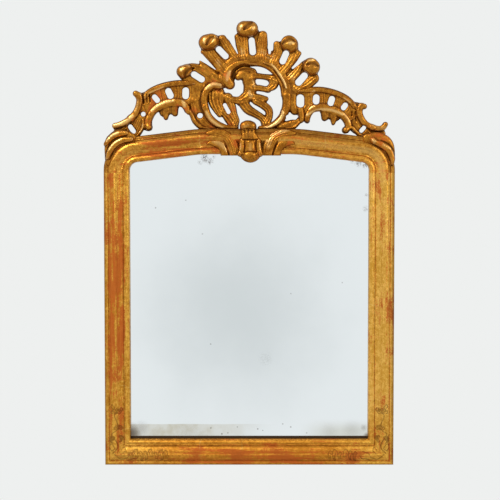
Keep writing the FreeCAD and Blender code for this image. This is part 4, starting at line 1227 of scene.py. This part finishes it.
def left_tones(x, z, out):
    dirt_and_painted_light, bole = banded(left_bands, out)
    return dirt_and_painted_light, mid_worn(bole, z + 10, 1.7, 130)


def right_tones(x, z, out):
    return banded(right_bands, out)


def bottom_tones(x, z, out):
    dirt_and_painted_light, bole = banded(bottom_bands, out)
    return dirt_and_painted_light + LEFT_DARKENING * np.clip(-x / 60 - 2, 0, 1), mid_worn(bole, x, 1.8, 110)


def top_tones(x, z, out):
    share = np.clip(x / 120 + 0.5, 0, 1)
    dirt_and_painted_light, bole = banded(top_left_bands, out) * (1 - share) + banded(top_right_bands, out) * share
    clean = np.clip((np.abs(x) - CLEAN_FROM) / CLEAN_FADE, 0, 1)
    return dirt_and_painted_light - CLEAN_GOLD * clean, bole * (1 - 0.8 * clean)


# Distance out from the sight edge
def stile_out(x, z):
    return np.abs(x) - half_sight


def bottom_out(x, z):
    return sight_bottom - z


def top_out(x, z):
    slope = (z - sight_top + np.maximum(0, np.abs(x) - LEVEL_HALF) * math.tan(CAMBER)) * math.cos(CAMBER)
    corner = np.hypot(np.abs(x) - corner_x, z - corner_z) - CORNER_RADIUS
    in_corner = (np.abs(x) > corner_x) & (z > corner_z)
    return np.where(in_corner, corner, np.where(z < corner_z, stile_out(x, z), slope))


# A zone on the left, where side is -1, or on the right
def zone_at(side, near, far, low, high):
    return (*sorted((side * near, side * far)), low, high)


# The members are divided in steps along their length, and more finely along the bands and the engraving
ACROSS = Vector((1, 0, 0))
UP = Vector((0, 0, 1))
STEP = 20
ENGRAVED_EDGE = 2
band_cuts = np.arange(16, 41, 3)
steps_z = np.arange(frame_bottom + STEP / 2, joint_z, STEP)
steps_x = np.arange(-half_outer + STEP / 2, half_outer, STEP)
engraved_z = np.arange(frame_bottom + ENGRAVED_EDGE, frame_bottom + ENGRAVED_TOP, ENGRAVED_STEP)
engraved_x = np.arange(ENGRAVED_FROM, half_outer - ENGRAVED_EDGE, ENGRAVED_STEP)
across_stile = np.arange(half_sight + BAND_INNER, half_sight + BAND_OUTER, ENGRAVED_STEP)
across_rail = np.arange(sight_bottom - BAND_OUTER, sight_bottom - BAND_INNER, ENGRAVED_STEP)
slope_cuts = sight_top * math.cos(CAMBER) + LEVEL_HALF * math.sin(CAMBER) + band_cuts
stile_top = frame_bottom + ENGRAVED_TOP
rail_middle = (-ENGRAVED_FROM, ENGRAVED_FROM, frame_bottom, sight_bottom)
bottom_cuts = [
    (ACROSS, steps_x, None),
    (ACROSS, [-ENGRAVED_FROM, ENGRAVED_FROM], None),
    (UP, sight_bottom - band_cuts, rail_middle),
]
top_cuts = [(ACROSS, steps_x, None)]
for side, node, tones, lines, material in (
    (-1, "left_stile", left_tones, left_lines, gilt_left),
    (1, "right_stile", right_tones, right_lines, gilt_right),
):
    lower = zone_at(side, half_sight, half_outer, frame_bottom, stile_top)
    upper = zone_at(side, half_sight, half_outer, stile_top, joint_z)
    stile_cuts = [
        (UP, steps_z, None),
        (UP, [stile_top], None),
        (ACROSS, side * (half_sight + band_cuts), upper),
        (UP, engraved_z, lower),
        (ACROSS, side * across_stile, lower),
    ]
    member(node, stile_cuts, stile_out, tones, lines, material)
    rail_end = zone_at(side, ENGRAVED_FROM, half_outer, frame_bottom, sight_bottom)
    bottom_cuts += [(ACROSS, side * engraved_x, rail_end), (UP, across_rail, rail_end)]
    slope = Vector((side * math.sin(CAMBER), 0, math.cos(CAMBER)))
    top_cuts.append((slope, slope_cuts, zone_at(side, LEVEL_HALF, half_outer, joint_z, seat)))
both_corners = np.vstack([left_lines, right_lines])
member("bottom_rail", bottom_cuts, bottom_out, bottom_tones, both_corners, gilt_bottom)
member("top_rail", top_cuts, top_out, top_tones, [], gilt_top)

# Other pieces keep their shapes
pine = old_wood("aged_pine", colour(0.16, 0.085, 0.035), colour(0.42, 0.27, 0.13), (9.0, 160.0, 160.0))
oak = old_wood("aged_oak", colour(0.11, 0.06, 0.03), colour(0.30, 0.18, 0.09), (120.0, 120.0, 12.0))
iron = aged_metal("aged_iron", colour(0.10, 0.09, 0.085), colour(0.11, 0.05, 0.025), 0.5)
brass = aged_metal("aged_brass", colour(0.55, 0.36, 0.12), colour(0.36, 0.23, 0.085), 0.34)
mirror = old_mirror("old_mirror")
tin = aged_metal("dull_tin", colour(0.42, 0.43, 0.44), colour(0.22, 0.22, 0.22), 0.4)
by_slot = {"pine": pine, "hard_wood": oak, "iron": iron, "brass": brass, "mirror": mirror, "tin": tin}
for part in frame["record"]["subparts"]:
    material = by_slot.get(part["material_slot"])
    if material:
        slots = nodes[part["node"]].data.materials
        slots.clear()
        slots.append(material)


# Camera at the photograph's angle
IMAGE_MM = 1000
SENSOR = 36
LOOK_AT = Vector((1.4, 0, 93)) * MM
EYE = Vector((1.4, -3000, 271)) * MM


def aim(obj, place, target):
    obj.location = place
    obj.rotation_mode = "QUATERNION"
    obj.rotation_quaternion = (target - Vector(place)).to_track_quat("-Z", "Y")


camera_data = bpy.data.cameras.new("camera")
camera_data.sensor_width = SENSOR
camera_data.lens = SENSOR * (LOOK_AT - EYE).length / (IMAGE_MM * MM)
camera = stand("camera", camera_data)
aim(camera, EYE, LOOK_AT)
scene.camera = camera


# Light: an even pale world and two soft lamps
def soft_lamp(name, place, size, energy):
    data = bpy.data.lights.new(name, "AREA")
    data.size = size
    data.energy = energy
    aim(stand(name, data), place, Vector((0, 0, 0)))


soft_lamp("key_lamp", (-1.5, -2.2, 2.2), 1.2, 62)
soft_lamp("fill_lamp", (2.2, -2.1, 1.2), 1.6, 26)

BACKGROUND = colour(0.855, 0.871, 0.863)
WORLD_LIGHT = 0.42
FLOOR_DROP = 350
FLOOR_HALF = 1500


def pale_world():
    scene.world = bpy.data.worlds.new("studio")
    s = Nodes(scene.world, "OutputWorld")
    backdrop = s.feed(s.node("Background"), {"Color": BACKGROUND})
    light = s.feed(s.node("Background"), {"Color": colour(1.0, 1.0, 1.0), "Strength": WORLD_LIGHT})
    s.mix_shaders(s.seeing_rays(), light, backdrop)


# A pale floor well below the mirror, which fades into the backdrop
def pale_floor():
    s = Shader("pale_floor")
    s.set("Base Color", BACKGROUND)
    s.set("Roughness", 0.9)
    glow = s.feed(s.node("Emission"), {"Color": BACKGROUND})
    half = FLOOR_HALF * MM
    far = s.ramp(s.distance(s.position(), (0, 0, 0)), 0.35 * half, 0.75 * half)
    s.mix_shaders(s.times(far, s.seeing_rays()), s.surface.outputs[0], glow)
    mesh = bpy.data.meshes.new("floor")
    corners = [(-half, -half, 0), (half, -half, 0), (half, half, 0), (-half, half, 0)]
    mesh.from_pydata(corners, [], [(0, 1, 2, 3)])
    mesh.materials.append(s.material)
    floor = stand("floor", mesh)
    floor.location.z = (frame_bottom - FLOOR_DROP) * MM


pale_world()
scene.view_settings.view_transform = "Standard"
pale_floor()
